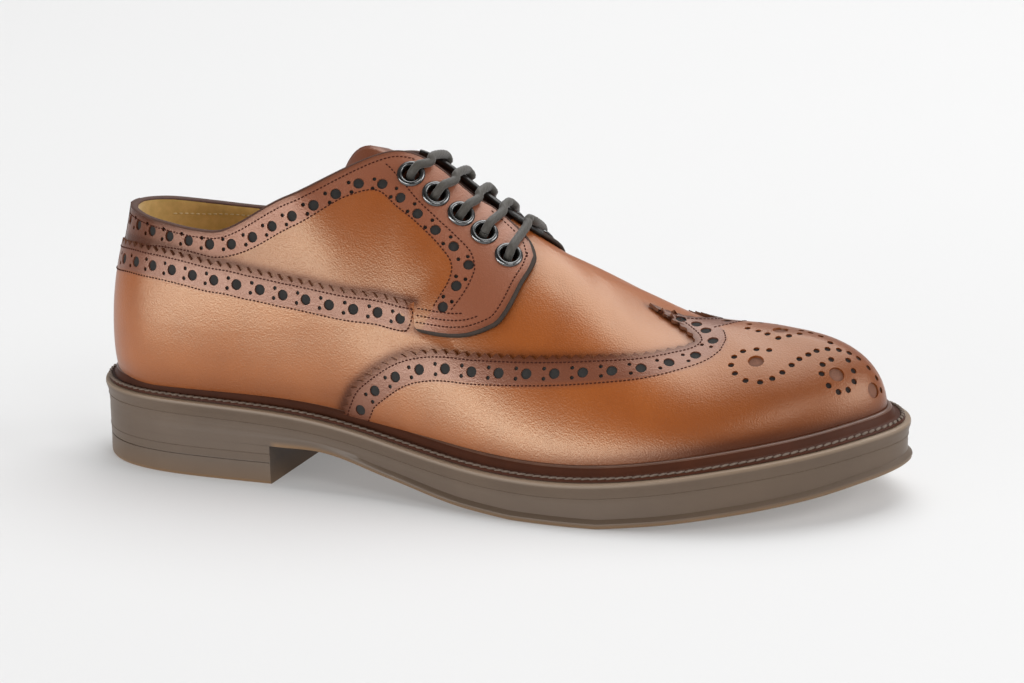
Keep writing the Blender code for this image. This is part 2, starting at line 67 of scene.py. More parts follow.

# %% [markdown]
# ## The last
#
# A last is the wooden foot that a shoe is pulled over. Here it is a rule instead: a station
# counts from the heel (0) by the outer side to the toe (12) and back by the inner side (24), a
# height counts from the sole (0) to the crest (1), and each pair gives one point on the leather.
# The tables are the same ones that shape the solids.

# %% Tables of the last, in millimetres
CENTRE_X, CENTRE_Y = 155.2, -0.55
GAP = 0.3
Station = namedtuple("Station", "x lateral medial lip inset tread flare")
PLAN = (
    Station(0.0, -2.0, 2.0, 28.6, 6.5, 14.5, -1.8),
    Station(9.0, 20.0, 24.0, 28.7, 6.8, 14.5, -1.8),
    Station(28.0, 32.0, 35.7, 28.8, 7.4, 14.5, -1.8),
    Station(55.0, 36.7, 37.0, 28.6, 8.4, 14.5, -1.8),
    Station(95.0, 39.0, 35.0, 26.7, 9.4, 14.3, -1.2),
    Station(130.0, 43.5, 35.0, 21.3, 10.2, 7.6, -0.2),
    Station(165.0, 52.0, 44.0, 16.5, 10.5, 1.4, 0.4),
    Station(200.0, 57.6, 53.3, 15.6, 10.5, -0.7, 0.4),
    Station(232.0, 56.0, 56.8, 18.2, 10.5, 1.7, 0.4),
    Station(262.0, 47.2, 52.4, 22.3, 10.5, 5.6, 0.4),
    Station(286.0, 32.4, 41.2, 25.5, 10.4, 9.2, 0.4),
    Station(302.0, 15.3, 26.2, 27.8, 10.2, 12.4, 0.4),
    Station(310.0, -5.0, 5.0, 28.6, 10.0, 14.0, 0.4),
)
Crest = namedtuple("Crest", "x lateral_y medial_y lateral_z medial_z slope cross")
CREST = (
    Crest(15.0, 1.5, 1.5, 93.5, 93.5, 0.0, 0.0),
    Crest(20.0, -11.0, 14.0, 93.3, 92.2, 0.0, 0.0),
    Crest(35.0, -21.0, 23.5, 92.0, 89.2, 0.0, 0.0),
    Crest(58.0, -26.0, 27.0, 90.6, 87.3, 0.0, 0.0),
    Crest(88.0, -25.5, 27.0, 105.0, 101.5, 0.0, 0.0),
    Crest(123.0, -5.0, 9.0, 118.3, 115.0, -0.3, 0.0),
    Crest(152.0, -1.0, 7.0, 100.4, 100.4, -0.6, 0.0),
    Crest(180.0, 3.0, 3.0, 83.8, 83.8, -0.53, 0.02),
    Crest(204.0, 2.0, 2.0, 71.7, 71.7, -0.48, 0.08),
    Crest(226.0, 0.8, 0.8, 61.2, 61.2, -0.2, 0.17),
    Crest(244.0, -0.2, -0.2, 58.5, 58.5, -0.06, 0.25),
    Crest(256.0, -0.5, -0.5, 57.9, 57.9, -0.02, 0.3),
    Crest(262.0, -0.2, -0.2, 57.8, 57.8, 0.0, 0.32),
)
Swell = namedtuple("Swell", "lean rise reach drop medial_lean medial_rise medial_reach medial_drop")
SWELL = (
    Swell(5.0, 22.0, 5.0, 26.0, 5.0, 22.0, 5.0, 26.0),
    Swell(5.5, 22.0, 6.0, 26.0, 5.5, 22.0, 6.0, 26.0),
    Swell(5.5, 22.0, 6.0, 26.0, 5.5, 22.0, 6.0, 26.0),
    Swell(5.5, 22.0, 6.0, 26.0, 4.5, 22.0, 6.0, 26.0),
    Swell(5.0, 22.0, 9.0, 28.0, 2.0, 24.0, 8.0, 30.0),
    Swell(5.0, 22.0, 22.0, 18.0, 0.0, 26.0, 18.0, 22.0),
    Swell(4.5, 20.0, 26.0, 9.0, 1.0, 24.0, 22.0, 11.0),
    Swell(4.0, 18.0, 28.0, 1.0, 3.0, 20.0, 26.0, 1.0),
    Swell(4.0, 18.0, 30.0, 0.0, 4.0, 18.0, 30.0, 0.0),
    Swell(3.5, 18.0, 28.0, 0.0, 4.0, 18.0, 30.0, 0.0),
    Swell(3.0, 18.5, 26.0, 0.0, 3.5, 18.5, 27.0, 0.0),
    Swell(2.5, 19.0, 25.0, 0.0, 3.0, 19.0, 26.0, 0.0),
    Swell(2.0, 19.0, 25.0, 0.0, 2.0, 19.0, 25.0, 0.0),
)
Crease = namedtuple("Crease", "start end depth width")
CREASES = (
    Crease((5.27, 0.53), (5.55, 0.63), 0.4, 3.5),      # behind the facing's lower corner
    Crease((4.85, 0.4), (5.35, 0.385), 0.4, 4.5),      # on the foxing, below that corner
    Crease((7.0, 0.82), (6.85, 1.0), 0.3, 5.0),        # across the vamp, where the foot bends
    Crease((7.75, 0.78), (7.55, 1.0), 0.25, 6.0),
)
CREASE_SCALE = np.array([33.0, 78.0])     # millimetres to a station, and to the whole height
TOE = len(PLAN) - 1
ROUND = 2 * TOE
SOLE_LENGTH = PLAN[-1].x
print("stations round the shoe:", ROUND)


# %% Curves through the stations
def hermite(values, slopes):
    """A closed curve through evenly spaced values with these slopes."""
    count = len(values)

    def curve(station):
        station = np.asarray(station, float)
        before = np.floor(station).astype(int) % count
        after = (before + 1) % count
        t = station - np.floor(station)
        return (
            values[before] * (1 + 2 * t) * (1 - t) ** 2
            + slopes[before] * t * (1 - t) ** 2
            + values[after] * t * t * (3 - 2 * t)
            + slopes[after] * t * t * (t - 1)
        )

    return curve


def smooth(values):
    """The smoothest closed curve through evenly spaced values."""
    count = len(values)
    system = 4 * np.eye(count) + np.roll(np.eye(count), 1, 0) + np.roll(np.eye(count), -1, 0)
    return hermite(values, np.linalg.solve(system, 3 * (np.roll(values, -1) - np.roll(values, 1))))


def steady(values):
    """A closed curve that never overshoots its values."""
    step = np.roll(values, -1) - values
    before = np.roll(step, 1)
    same_way = step * before > 0
    slopes = np.where(same_way, 2 * step * before / np.where(same_way, step + before, 1), 0)
    return hermite(values, slopes)


def column(table, lateral, medial=None, kind=smooth, mirror=False):
    """One column as a curve, up the outer side to the toe and back down the inner side."""
    near = np.array([getattr(row, lateral) for row in table], float)
    far = np.array([getattr(row, medial or lateral) for row in table], float)
    if mirror:
        near = -near
        near[0], near[-1] = far[0], far[-1]
    return kind(np.concatenate([near, far[-2:0:-1]]))


lip_x = column(PLAN, "x")
lip_y = column(PLAN, "lateral", "medial", mirror=True)
lip_z = column(PLAN, "lip")
inset = column(PLAN, "inset")
tread_curve = column(PLAN, "tread", kind=steady)
flare = column(PLAN, "flare", kind=steady)
crest_x = column(CREST, "x")
crest_y = column(CREST, "lateral_y", "medial_y", kind=steady)
topline_z = column(CREST, "lateral_z", "medial_z", kind=steady)
ridge_z = column(CREST, "lateral_z", "medial_z")
slope = column(CREST, "slope", kind=steady)
cross = column(CREST, "cross", kind=steady)
lean = column(SWELL, "lean", "medial_lean")
rise = column(SWELL, "rise", "medial_rise")
reach = column(SWELL, "reach", "medial_reach")
drop = column(SWELL, "drop", "medial_drop")
print("lip at the toe:", float(lip_x(12.0)), float(lip_z(12.0)))


# %% Points and directions on the leather
TINY = 1e-3              # a small step, for slopes
VAMP_FROM = 6.0          # the vamp's ridge runs from this station to the toe
VAMP_BLEND = 1.5         # stations over which the collar's curve passes into the ridge's
RIDGE_END = 0.25         # this close to the toe the ridge keeps one slope
RIDGE_STEP = 0.02


def unit(vectors):
    """The same directions with length 1."""
    return vectors / np.linalg.norm(vectors, axis=-1, keepdims=True)


def crest_z(station):
    """Height of the crest: the steady curve round the collar, the smoothest one along the vamp."""
    from_heel = TOE - np.abs(np.asarray(station, float) % ROUND - TOE)
    t = np.clip((from_heel - VAMP_FROM) / VAMP_BLEND, 0, 1)
    on_vamp = t ** 3 * (t * (6 * t - 15) + 10)
    return topline_z(station) * (1 - on_vamp) + ridge_z(station) * on_vamp


def outline(station, out):
    """Plan of the sole's lip moved out by a distance, and its outward directions."""
    dx = lip_x(station + TINY) - lip_x(station - TINY)
    dy = lip_y(station + TINY) - lip_y(station - TINY)
    away = np.stack([dy, -dx], -1) / np.hypot(dx, dy)[..., None]
    plan = np.stack([lip_x(station), lip_y(station)], -1)
    return plan + away * np.asarray(out)[..., None], away


def ridge_slope(station):
    """Slope along the vamp's ridge, so that its two sides meet without a crease."""
    from_toe = np.abs(station % ROUND - TOE)
    # close to the ridge's end the slope stays the same, on both sides alike
    here = TOE - np.maximum(from_toe, RIDGE_END)
    behind = here - RIDGE_STEP
    on_vamp = np.clip(TOE - VAMP_FROM - from_toe, 0, 1)
    run = np.where(on_vamp > 0, crest_x(behind) - crest_x(here), 1.0)
    rise_along = crest_z(behind) - crest_z(here)
    rise_across = cross(here) * (crest_y(behind) - crest_y(here))
    return slope(station) + ((rise_along - rise_across) / run - slope(station)) * on_vamp


def last(station, height):
    """Outside of the upper: a cubic section from the sole (0) to the crest (1)."""
    station, height = np.broadcast_arrays(np.asarray(station, float), np.asarray(height, float))
    plan, away = outline(station, -inset(station))
    foot = np.concatenate([plan, (lip_z(station) + GAP)[..., None]], -1)
    top = np.stack([crest_x(station), crest_y(station), crest_z(station)], -1)
    across = unit(plan - top[..., :2])
    swell = np.concatenate([away * lean(station)[..., None], rise(station)[..., None]], -1)
    steepness = ridge_slope(station) * across[..., 0] + cross(station) * across[..., 1]
    fall = steepness * reach(station) - drop(station)
    bend = np.concatenate([across * reach(station)[..., None], fall[..., None]], -1)
    t = height[..., None]
    low = foot * (1 - t) ** 3 + (foot + swell) * 3 * t * (1 - t) ** 2
    return low + (top + bend) * 3 * t * t * (1 - t) + top * t ** 3


def last_normal(station, height):
    station, height = np.broadcast_arrays(np.asarray(station, float), np.asarray(height, float))
    below = np.clip(height, 0.0, 0.998)
    along = last(station + TINY, below) - last(station - TINY, below)
    up = last(station, below + TINY) - last(station, below - TINY)
    return unit(np.cross(along, up))


def creases(station, height):
    """Soft troughs where the leather was pulled over the last and bends in walking."""
    from_heel = np.minimum(station % ROUND, ROUND - station % ROUND)
    total = np.zeros(np.shape(from_heel))
    for crease in CREASES:
        start, end = np.array(crease.start) * CREASE_SCALE, np.array(crease.end) * CREASE_SCALE
        place = np.stack([from_heel, height], -1) * CREASE_SCALE - start
        share = np.clip(place @ (end - start) / ((end - start) @ (end - start)), 0, 1)
        miss = np.linalg.norm(place - share[..., None] * (end - start), axis=-1)
        total = total - crease.depth * np.exp(-(miss / crease.width) ** 2)
    return total


def skin(station, height, off):
    """The leather's surface, out from the last by a distance, with its creases."""
    station, height = np.broadcast_arrays(np.asarray(station, float), np.asarray(height, float))
    off = off + creases(station, height)
    normal = last_normal(station, height)
    # on the vamp's ridge both sides share one direction, so their edges meet
    ridge = (height > 0.9995) & (np.abs(station % ROUND - TOE) < 5)
    if ridge.any():
        both = unit(normal + last_normal(ROUND - station, height))
        normal = np.where(ridge[..., None], both, normal)
    return last(station, height) + normal * np.broadcast_to(off, station.shape)[..., None]


def metres(points):
    return (np.asarray(points, float) - (CENTRE_X, CENTRE_Y, 0.0)) * MM


print("toe point", np.round(skin(12.0, 0.5, 0.0), 1))

# %% [markdown]
# ## Camera and studio
#
# The camera stands low in front of the outer side, turned a little towards the toe, with a long
# lens. A pale floor runs out of view behind the shoe, and large soft lamps give the even
# catalogue light: a big one overhead, a low one at the camera's left and two at the toe.

# %% Camera
AZIMUTH, ELEVATION, ROLL = math.radians(22.2), math.radians(15.0), math.radians(-2.0)
DISTANCE, FOCAL_PIXELS, IMAGE_WIDTH = 1556.0, 4289.0, 1024.0
SHIFT_RIGHT, SHIFT_DOWN = -20.0, 10.9
SENSOR_WIDTH = 36.0
TARGET = metres((155.0, 0.0, 45.0))
back = Vector((
    math.sin(AZIMUTH) * math.cos(ELEVATION), -math.cos(AZIMUTH) * math.cos(ELEVATION), math.sin(ELEVATION),
))
right = Vector((math.cos(AZIMUTH), math.sin(AZIMUTH), 0.0))
turn = Matrix((right, back.cross(right), back)).transposed().to_4x4()
camera_data = bpy.data.cameras.new("Camera")
camera_data.sensor_width = SENSOR_WIDTH
camera_data.lens = FOCAL_PIXELS / IMAGE_WIDTH * SENSOR_WIDTH
camera_data.shift_x = -SHIFT_RIGHT / IMAGE_WIDTH
camera_data.shift_y = SHIFT_DOWN / IMAGE_WIDTH
camera = bpy.data.objects.new("Camera", camera_data)
camera.matrix_world = (
    Matrix.Translation(Vector(TARGET) + back * DISTANCE * MM) @ turn @ Matrix.Rotation(ROLL, 4, "Z")
)
bpy.context.scene.collection.objects.link(camera)
bpy.context.scene.camera = camera
print("lens", round(camera_data.lens, 1), "mm")


# %% One helper for shader nodes, one for colours
def add_node(tree, kind, inputs=None, **settings):
    """A shader node with its settings; an input is a plain value or another node's output."""
    made = tree.nodes.new(kind)
    for name, value in settings.items():
        setattr(made, name, value)
    for name, value in (inputs or {}).items():
        if isinstance(value, bpy.types.NodeSocket):
            tree.links.new(value, made.inputs[name])
        else:
            made.inputs[name].default_value = value
    return made


def colour(code):
    """A linear colour from an sRGB hex code."""
    parts = [int(code[place: place + 2], 16) / 255 for place in (1, 3, 5)]
    linear = [part / 12.92 if part <= 0.04045 else ((part + 0.055) / 1.055) ** 2.4 for part in parts]
    return (*linear, 1.0)


def new_material(name, **values):
    """A Principled material with constant values on its own sockets, and its object coordinates."""
    material = bpy.data.materials.new(name)
    material.use_nodes = True
    tree = material.node_tree
    shader = tree.nodes["Principled BSDF"]
    for socket, value in values.items():
        shader.inputs[socket.replace("_", " ").title().replace("Ior", "IOR")].default_value = value
    place = add_node(tree, "ShaderNodeTexCoord").outputs["Object"]
    return material, tree, shader, place


print("tan is", [round(part, 3) for part in colour("#be6932")])

# %% Floor and light
# a pale sheet, faintly lit from below as on a catalogue table, so that shadows stay soft
floor_material, tree, shader, place = new_material(
    "pale_studio_floor", roughness=0.85, emission_color=colour("#ffffff"), emission_strength=0.22,
)
speckle = add_node(tree, "ShaderNodeTexNoise", {"Vector": place, "Scale": 3.0, "Detail": 3.0})
paper = add_node(tree, "ShaderNodeValToRGB", {"Fac": speckle.outputs["Fac"]})
paper.color_ramp.elements[0].color = colour("#c3c3c3")
paper.color_ramp.elements[1].color = colour("#c5c5c5")
tree.links.new(paper.outputs["Color"], shader.inputs["Base Color"])
shader.inputs["Specular IOR Level"].default_value = 0.1

bm = bmesh.new()
bmesh.ops.create_grid(bm, x_segments=8, y_segments=8, size=4.0)
floor_mesh = bpy.data.meshes.new("studio_floor")
bm.to_mesh(floor_mesh)
bm.free()
floor_mesh.materials.append(floor_material)
floor = bpy.data.objects.new("studio_floor", floor_mesh)
bpy.context.scene.collection.objects.link(floor)

world = bpy.data.worlds.new("studio")
world.use_nodes = True
# the room is pale behind the shoe and dim in front of it, so that dark leather stays dark
sky = world.node_tree
looking = add_node(sky, "ShaderNodeTexCoord").outputs["Generated"]
facing = add_node(sky, "ShaderNodeSeparateXYZ", {"Vector": looking})
glow = add_node(sky, "ShaderNodeMapRange", {
    "Value": facing.outputs["Y"], "From Min": -0.7, "From Max": 0.5, "To Min": 0.04, "To Max": 0.4,
})
sky.links.new(glow.outputs["Result"], sky.nodes["Background"].inputs["Strength"])
sky.nodes["Background"].inputs["Color"].default_value = colour("#ffffff")
bpy.context.scene.world = world
bpy.context.scene.view_settings.view_transform = "Standard"

Lamp = namedtuple("Lamp", "name place size power")
LAMP_AIM = Vector((0.0, 0.0, 0.04))
LAMPS = (
    Lamp("overhead", (0.1, 1.2, 2.5), (2.4, 2.7), 72.0),
    Lamp("heel_side", (-1.75, -3.5, 0.38), (5.2, 0.74), 140.0),
    Lamp("toe_end", (2.7, 0.25, 1.0), (1.8, 1.6), 46.0),
    Lamp("toe_front", (1.9, -1.75, 1.8), (1.1, 1.1), 19.0),
)
for lamp in LAMPS:
    light = bpy.data.lights.new(lamp.name, "AREA")
    light.shape = "RECTANGLE"
    light.size, light.size_y = lamp.size
    light.energy = lamp.power
    holder = bpy.data.objects.new(lamp.name, light)
    holder.location = lamp.place
    holder.visible_camera = False
    holder.rotation_euler = (LAMP_AIM - holder.location).to_track_quat("-Z", "Y").to_euler()
    bpy.context.scene.collection.objects.link(holder)
print("lamps:", [lamp.name for lamp in LAMPS])

# %% [markdown]
# ## Leathers
#
# The upper is calf leather, dyed tan and burnished by hand with darker wax along its edges,
# with a fine pore and a satin polish. How dark a spot is depends on its distance from seams and
# edges, so each piece carries two painted values per vertex: a darkening (wax along its edges and
# at the toe, darker leather towards the welt, and painted shadow beside the edges of panels that
# lie on top) and band (the redder trim beside the edges). One recipe serves every leather piece;
# only its colours differ.


# %% Shader pieces that the recipes share
def mix(tree, factor, first, second):
    """A blend of two colours, each a hex code or another node's output."""
    first, second = [colour(end) if isinstance(end, str) else end for end in (first, second)]
    inputs = {"Factor": factor, "A": first, "B": second}
    return add_node(tree, "ShaderNodeMix", inputs, data_type="RGBA").outputs["Result"]


def noise(tree, place, size_mm, detail):
    """Clouds of about this size, as a value from 0 to 1."""
    inputs = {"Vector": place, "Scale": 1 / (size_mm * MM), "Detail": detail}
    return add_node(tree, "ShaderNodeTexNoise", inputs).outputs["Fac"]


def painted(tree, key):
    """A value that was painted on the vertices."""
    return add_node(tree, "ShaderNodeAttribute", attribute_name=key).outputs["Fac"]


def emboss(tree, shader, height, strength, deep_mm):
    """A fine relief on the surface."""
    inputs = {"Height": height, "Strength": strength, "Distance": deep_mm * MM}
    bump = add_node(tree, "ShaderNodeBump", inputs)
    tree.links.new(bump.outputs["Normal"], shader.inputs["Normal"])


print("shader helpers ready")


# %% Leather recipe
def leather(name, base, deep, band, dark, pore_mm=0.6, roughness=0.35):
    """Dyed, burnished calf leather under a wax polish, with painted shade: satin, with soft cloudy dye and a
    fine pore.
    """
    material, tree, shader, place = new_material(name, ior=1.55)
    burnish, trim = painted(tree, "burnish"), painted(tree, "band")
    # the dye takes unevenly, in clouds about 14 mm across
    dye = mix(tree, noise(tree, place, 14, 4.0), deep, base)
    # over the dye go the trim colour, then the dark colour for wax and painted shade
    waxed_and_shaded = mix(tree, burnish, mix(tree, trim, dye, band), dark)
    tree.links.new(waxed_and_shaded, shader.inputs["Base Color"])
    # under wax and painted shade the leather is less glossy, so it stays dark in the light, and its shine is
    # redder
    gloss = add_node(tree, "ShaderNodeMapRange", {"Value": burnish, "To Min": 0.95, "To Max": 0.42})
    tree.links.new(gloss.outputs["Result"], shader.inputs["Specular IOR Level"])
    shine = mix(tree, burnish, mix(tree, trim, "#fff1d2", "#ffdcc8"), "#ffd4bd")
    tree.links.new(shine, shader.inputs["Specular Tint"])
    # the real pore is about 0.2 mm; it is drawn coarser so that it shows
    pore = add_node(tree, "ShaderNodeTexVoronoi", {"Vector": place, "Scale": 1 / (pore_mm * MM)})
    grain = noise(tree, place, 0.9, 6.0)
    relief = add_node(tree, "ShaderNodeMath", {0: pore.outputs["Distance"], 1: grain}, operation="ADD")
    emboss(tree, shader, relief.outputs["Value"], 0.34, 0.15)
    polish = add_node(tree, "ShaderNodeMapRange", {
        "Value": grain, "To Min": roughness - 0.06, "To Max": roughness + 0.08,
    })
    tree.links.new(polish.outputs["Result"], shader.inputs["Roughness"])
    return material


tan_calf = leather("tan_calf", "#994f18", "#854012", "#6a3b28", "#431d0b")
brown_calf = leather("brown_calf", "#914a18", "#7e3d12", "#7e4831", "#431d0b")
print("leathers:", tan_calf.name, brown_calf.name)


# %% Plainer finishes
def mottled(name, light, dark, cloud_mm, roughness, bump_mm=0.0, bump_strength=0.3, tints=(), **values):
    """A finish whose colour drifts between two shades, with a fine relief and painted tints."""
    material, tree, shader, place = new_material(name, roughness=roughness, **values)
    tone = mix(tree, noise(tree, place, cloud_mm, 5.0), dark, light)
    for key, tint in tints:
        tone = mix(tree, painted(tree, key), tone, tint)
    tree.links.new(tone, shader.inputs["Base Color"])
    if bump_mm:
        emboss(tree, shader, noise(tree, place, bump_mm, 4.0), bump_strength, 0.2)
    return material


# cut edges of leather, stained dark and a little fibrous
raw_edge = mottled("stained_leather_edge", "#54301f", "#331a10", 2.0, 0.7, bump_mm=0.6)
# pinked edges are cut after dyeing, so they stay lighter
cut_edge = mottled("cut_leather_edge", "#7d4c2e", "#5a341f", 2.0, 0.7, bump_mm=0.6)
# the facing's edge is sealed with grey-brown paint
sealed_edge = mottled("sealed_leather_edge", "#3f332b", "#231b16", 2.0, 0.65, bump_mm=0.8,
                      specular_ior_level=0.25)
# the far facing's lining is turned over its edge: black and polished
black_binding = mottled("black_lining_leather", "#26221f", "#151311", 3.0, 0.35)
# the lining: golden suede
suede_lining = mottled("golden_suede_lining", "#e6c07a", "#b8954c", 3.0, 0.9, bump_mm=0.5, sheen_weight=0.4)
# the felted inside that shows through the punched holes
hole_floor = mottled("dark_hole_floor", "#2d2b28", "#161514", 1.5, 0.9, bump_mm=0.4)
# the small toe holes are as deep as they are wide, so little light reaches their floors
small_hole_floor = mottled("shaded_hole_floor", "#2a1d18", "#150f0c", 1.5, 0.9, bump_mm=0.4)
# the leather at the bottom of the wide toe punches, darkened with painted shade
shaded_dimple_floor = mottled("shaded_umber_underlay", "#80533d", "#593829", 1.5, 0.8, bump_mm=0.4)
# sewing thread: waxed, dark red-brown
thread = mottled("waxed_brown_thread", "#4a2014", "#2c110a", 0.8, 0.6, specular_ior_level=0.1)
pale_thread = mottled("pale_lining_thread", "#efdcae", "#c9b07a", 0.8, 0.7)
# welt: vegetable-tanned leather, stained almost black-red and polished
welt_leather = mottled("stained_welt_leather", "#4a2616", "#341b10", 9.0, 0.5, bump_mm=1.2, bump_strength=0.1,
                       specular_ior_level=0.12)
# the welt's crown is polished and lighter: a painted highlight along the bead
welt_crown_highlight = mottled("polished_welt_crown", "#654535", "#4a3024", 9.0, 0.32, specular_ior_level=0.5)
# thick linen thread of the welt seam
welt_thread = mottled("linen_welt_thread", "#7b6a5c", "#3c3027", 0.9, 0.7, bump_mm=0.4)
# moulded rubber: grey-brown with a satin skin, a painted highlight along the lip's top and an amber tint at
# the tread's edge
sole_rubber = mottled("moulded_brown_rubber", "#615143", "#524438", 18.0, 0.45, bump_mm=0.7,
                      bump_strength=0.08, tints=(("band", "#86725e"), ("burnish", "#8a6a48")),
                      specular_ior_level=0.35)
# insole: undyed leather
insole_leather = mottled("insole_leather", "#b98a58", "#9a6d40", 12.0, 0.6, bump_mm=0.6, bump_strength=0.15)
# eyelets: brass with a black nickel finish, which mirrors the lamps
eyelet_enamel = mottled("black_nickel", "#737373", "#505050", 5.0, 0.24, metallic=1.0)
# lace: waxed cotton braid, grey-olive
lace_cotton = mottled("waxed_cotton_braid", "#433e36", "#292520", 0.7, 0.62, bump_mm=0.35, sheen_weight=0.2)
print("finishes made:", len(bpy.data.materials))


# %% [markdown]
# ## Laying sheets
#
# Leather is cut flat and laid on the last, so a panel is a fine grid whose points are carried to
# the last by the rule above. A grid operator makes the faces, a weld closes the seams between
# neighbouring grids, and a Solidify modifier gives the leather its thickness, with a separate
# finish for the flesh side and for the cut edge.


# %% Helpers for sheets
# thickness of each leather
THICK = {"upper": 1.2, "wing": 1.3, "quarter": 1.2, "foxing": 1.3, "strip": 0.9, "tongue": 2.0}
FOOT_MIDDLE = (150.0, 0.0, 45.0)


def add_sheet(bm, points):
    """A grid of faces laid through rows of points."""
    rows, columns = points.shape[:2]
    made = bmesh.ops.create_grid(bm, x_segments=columns - 1, y_segments=rows - 1, size=1.0)
    for vertex, point in zip(made["verts"], metres(points.reshape(-1, 3))):
        vertex.co = point


def weld(bm, near=0.01):
    bmesh.ops.remove_doubles(bm, verts=bm.verts, dist=near * MM)
    bmesh.ops.dissolve_degenerate(bm, dist=1e-6, edges=bm.edges)
    bmesh.ops.recalc_face_normals(bm, faces=bm.faces)


def close_ends(bm):
    """Closes the open ends of a swept form."""
    bmesh.ops.holes_fill(bm, edges=[edge for edge in bm.edges if edge.is_boundary])
    bmesh.ops.recalc_face_normals(bm, faces=bm.faces)


def face_out(bm):
    """Turns an open sheet so that its faces look away from the middle of the foot."""
    middle = Vector(metres(FOOT_MIDDLE))
    agree = sum(face.normal.dot(face.calc_center_median() - middle) for face in bm.faces)
    if agree < 0:
        bmesh.ops.reverse_faces(bm, faces=bm.faces)


def add_piece(name, bm, materials, nodes=(), sharp=40):
    """A mesh piece of the shoe, with its finish and the solids that it stands for."""
    mesh = bpy.data.meshes.new(name)
    bm.to_mesh(mesh)
    bm.free()
    for material in materials:
        mesh.materials.append(material)
    obj = bpy.data.objects.new(name, mesh)
    bpy.context.scene.collection.objects.link(obj)
    shade(obj, sharp)
    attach(obj, "root")
    if nodes:
        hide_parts(*nodes)
    return obj


def shade(obj, sharp):
    obj.data.shade_smooth()
    obj.data.set_sharp_from_angle(angle=math.radians(sharp))


def settle_modifiers(obj, sharp=40):
    """Makes the result of the piece's modifiers its own mesh."""
    bpy.context.view_layer.update()
    made = bpy.data.meshes.new_from_object(obj.evaluated_get(bpy.context.evaluated_depsgraph_get()))
    obj.modifiers.clear()
    obj.data = made
    if sharp:
        shade(obj, sharp)
    print(obj.name, len(made.polygons), "faces")


def panel(name, grids, thickness, materials, nodes, cutter=None, near=0.01):
    """Leather laid on the last: one open sheet, thickened inwards, then punched."""
    bm = bmesh.new()
    for points in grids:
        add_sheet(bm, points)
    weld(bm, near)
    face_out(bm)
    obj = add_piece(name, bm, materials, nodes)
    wall = obj.modifiers.new("Leather", "SOLIDIFY")
    wall.thickness = thickness * MM
    wall.offset = -1
    wall.material_offset = len(materials) - 2
    wall.material_offset_rim = len(materials) - 1
    if cutter:
        holes = obj.modifiers.new("Holes", "BOOLEAN")
        holes.operation = "DIFFERENCE"
        holes.solver = "MANIFOLD"
        holes.object = cutter
    settle_modifiers(obj, sharp=65)
    even = obj.modifiers.new("Even shading", "WEIGHTED_NORMAL")
    even.keep_sharp = True
    settle_modifiers(obj, sharp=None)
    if cutter:
        bpy.data.objects.remove(cutter, do_unlink=True)
    return obj


print("sheet helpers ready")

# %% [markdown]
# ## Lines on the leather
#
# Seams, pinked edges and rows of holes are all lines on the last. Each is drawn through a few
# given points, smoothed, and stepped off evenly in real millimetres, as a stitcher's wheel
# would. A line beside another one is found by stepping aside on the leather and settling back on
# the surface.


# %% Drawing lines
Track = namedtuple("Track", "station height point normal along aside medial")


def smooth_line(points, steps=14):
    """A smooth line through given points."""
    points = np.asarray(points, float)
    padded = np.concatenate([[2 * points[0] - points[1]], points, [2 * points[-1] - points[-2]]])
    t = np.linspace(0, 1, steps, endpoint=False)[:, None]
    line = []
    for a, b, c, d in zip(padded, padded[1:], padded[2:], padded[3:]):
        line.append(0.5 * (2 * b + (c - a) * t + (2 * a - 5 * b + 4 * c - d) * t * t
                           + (3 * b - a - 3 * c + d) * t ** 3))
    return np.concatenate(line + [points[-1:]])


def lengths(points):
    """How far along a line each of its points lies."""
    return np.concatenate([[0], np.cumsum(np.linalg.norm(np.diff(points, axis=0), axis=1))])


def points_at(line, at):
    """Points at some distances along a line."""
    length = lengths(line)
    return np.stack([np.interp(at, length, line[:, axis]) for axis in range(3)], 1)


def shortened(track, count):
    """The first points of a track; a negative count leaves out its last ones."""
    return Track(*[part[:count] for part in track[:6]], track.medial)


def side_of(station, medial):
    return ROUND - station if medial else station


def level(profile, station):
    """A panel's distance out from the last, along the shoe; the same on both sides."""
    station = np.asarray(station, float) % ROUND
    from_heel = np.minimum(station, ROUND - station)
    # steps are rounded off over this many stations; the foxing's drop at its front is short
    soft = 0.05 if profile is FOXING else 0.2
    steps = [np.interp(np.abs(from_heel + step), *zip(*profile)) for step in np.linspace(-soft, soft, 7)]
    return np.mean(steps, axis=0)


def as_track(station, height, profile, medial):
    point = skin(station, height, level(profile, station))
    normal = last_normal(station, height)
    along = unit(np.gradient(point, axis=0))
    aside = np.cross(normal, along) * (-1 if medial else 1)
    return Track(station, height, point, normal, along, aside, medial)


def step_off(station, height, profile, medial, pitch, start=0.0):
    """The same line in even steps of a real length."""
    point = skin(station, height, level(profile, station))
    length = lengths(point)
    count = max(2, int(round((length[-1] - start) / pitch)))
    at = np.linspace(start, length[-1], count + 1)
    return as_track(np.interp(at, length, station), np.interp(at, length, height), profile, medial)


def draw(points, profile, pitch, medial=False, start=0.0):
    station, height = smooth_line(points).T
    return step_off(side_of(station, medial), height, profile, medial, pitch, start)


def beside(track, distance, profile, pitch, start=0.0):
    """A line to one side of another (up is positive), settled on the leather."""
    target = track.point + track.aside * np.broadcast_to(distance, len(track.point))[:, None]
    station, height = settle(target, track.station, track.height, profile)
    keep = (height < 0.996) & (height > 0.05)
    if not pitch:
        return as_track(station, height, profile, track.medial)
    return step_off(station[keep], height[keep], profile, track.medial, pitch, start)


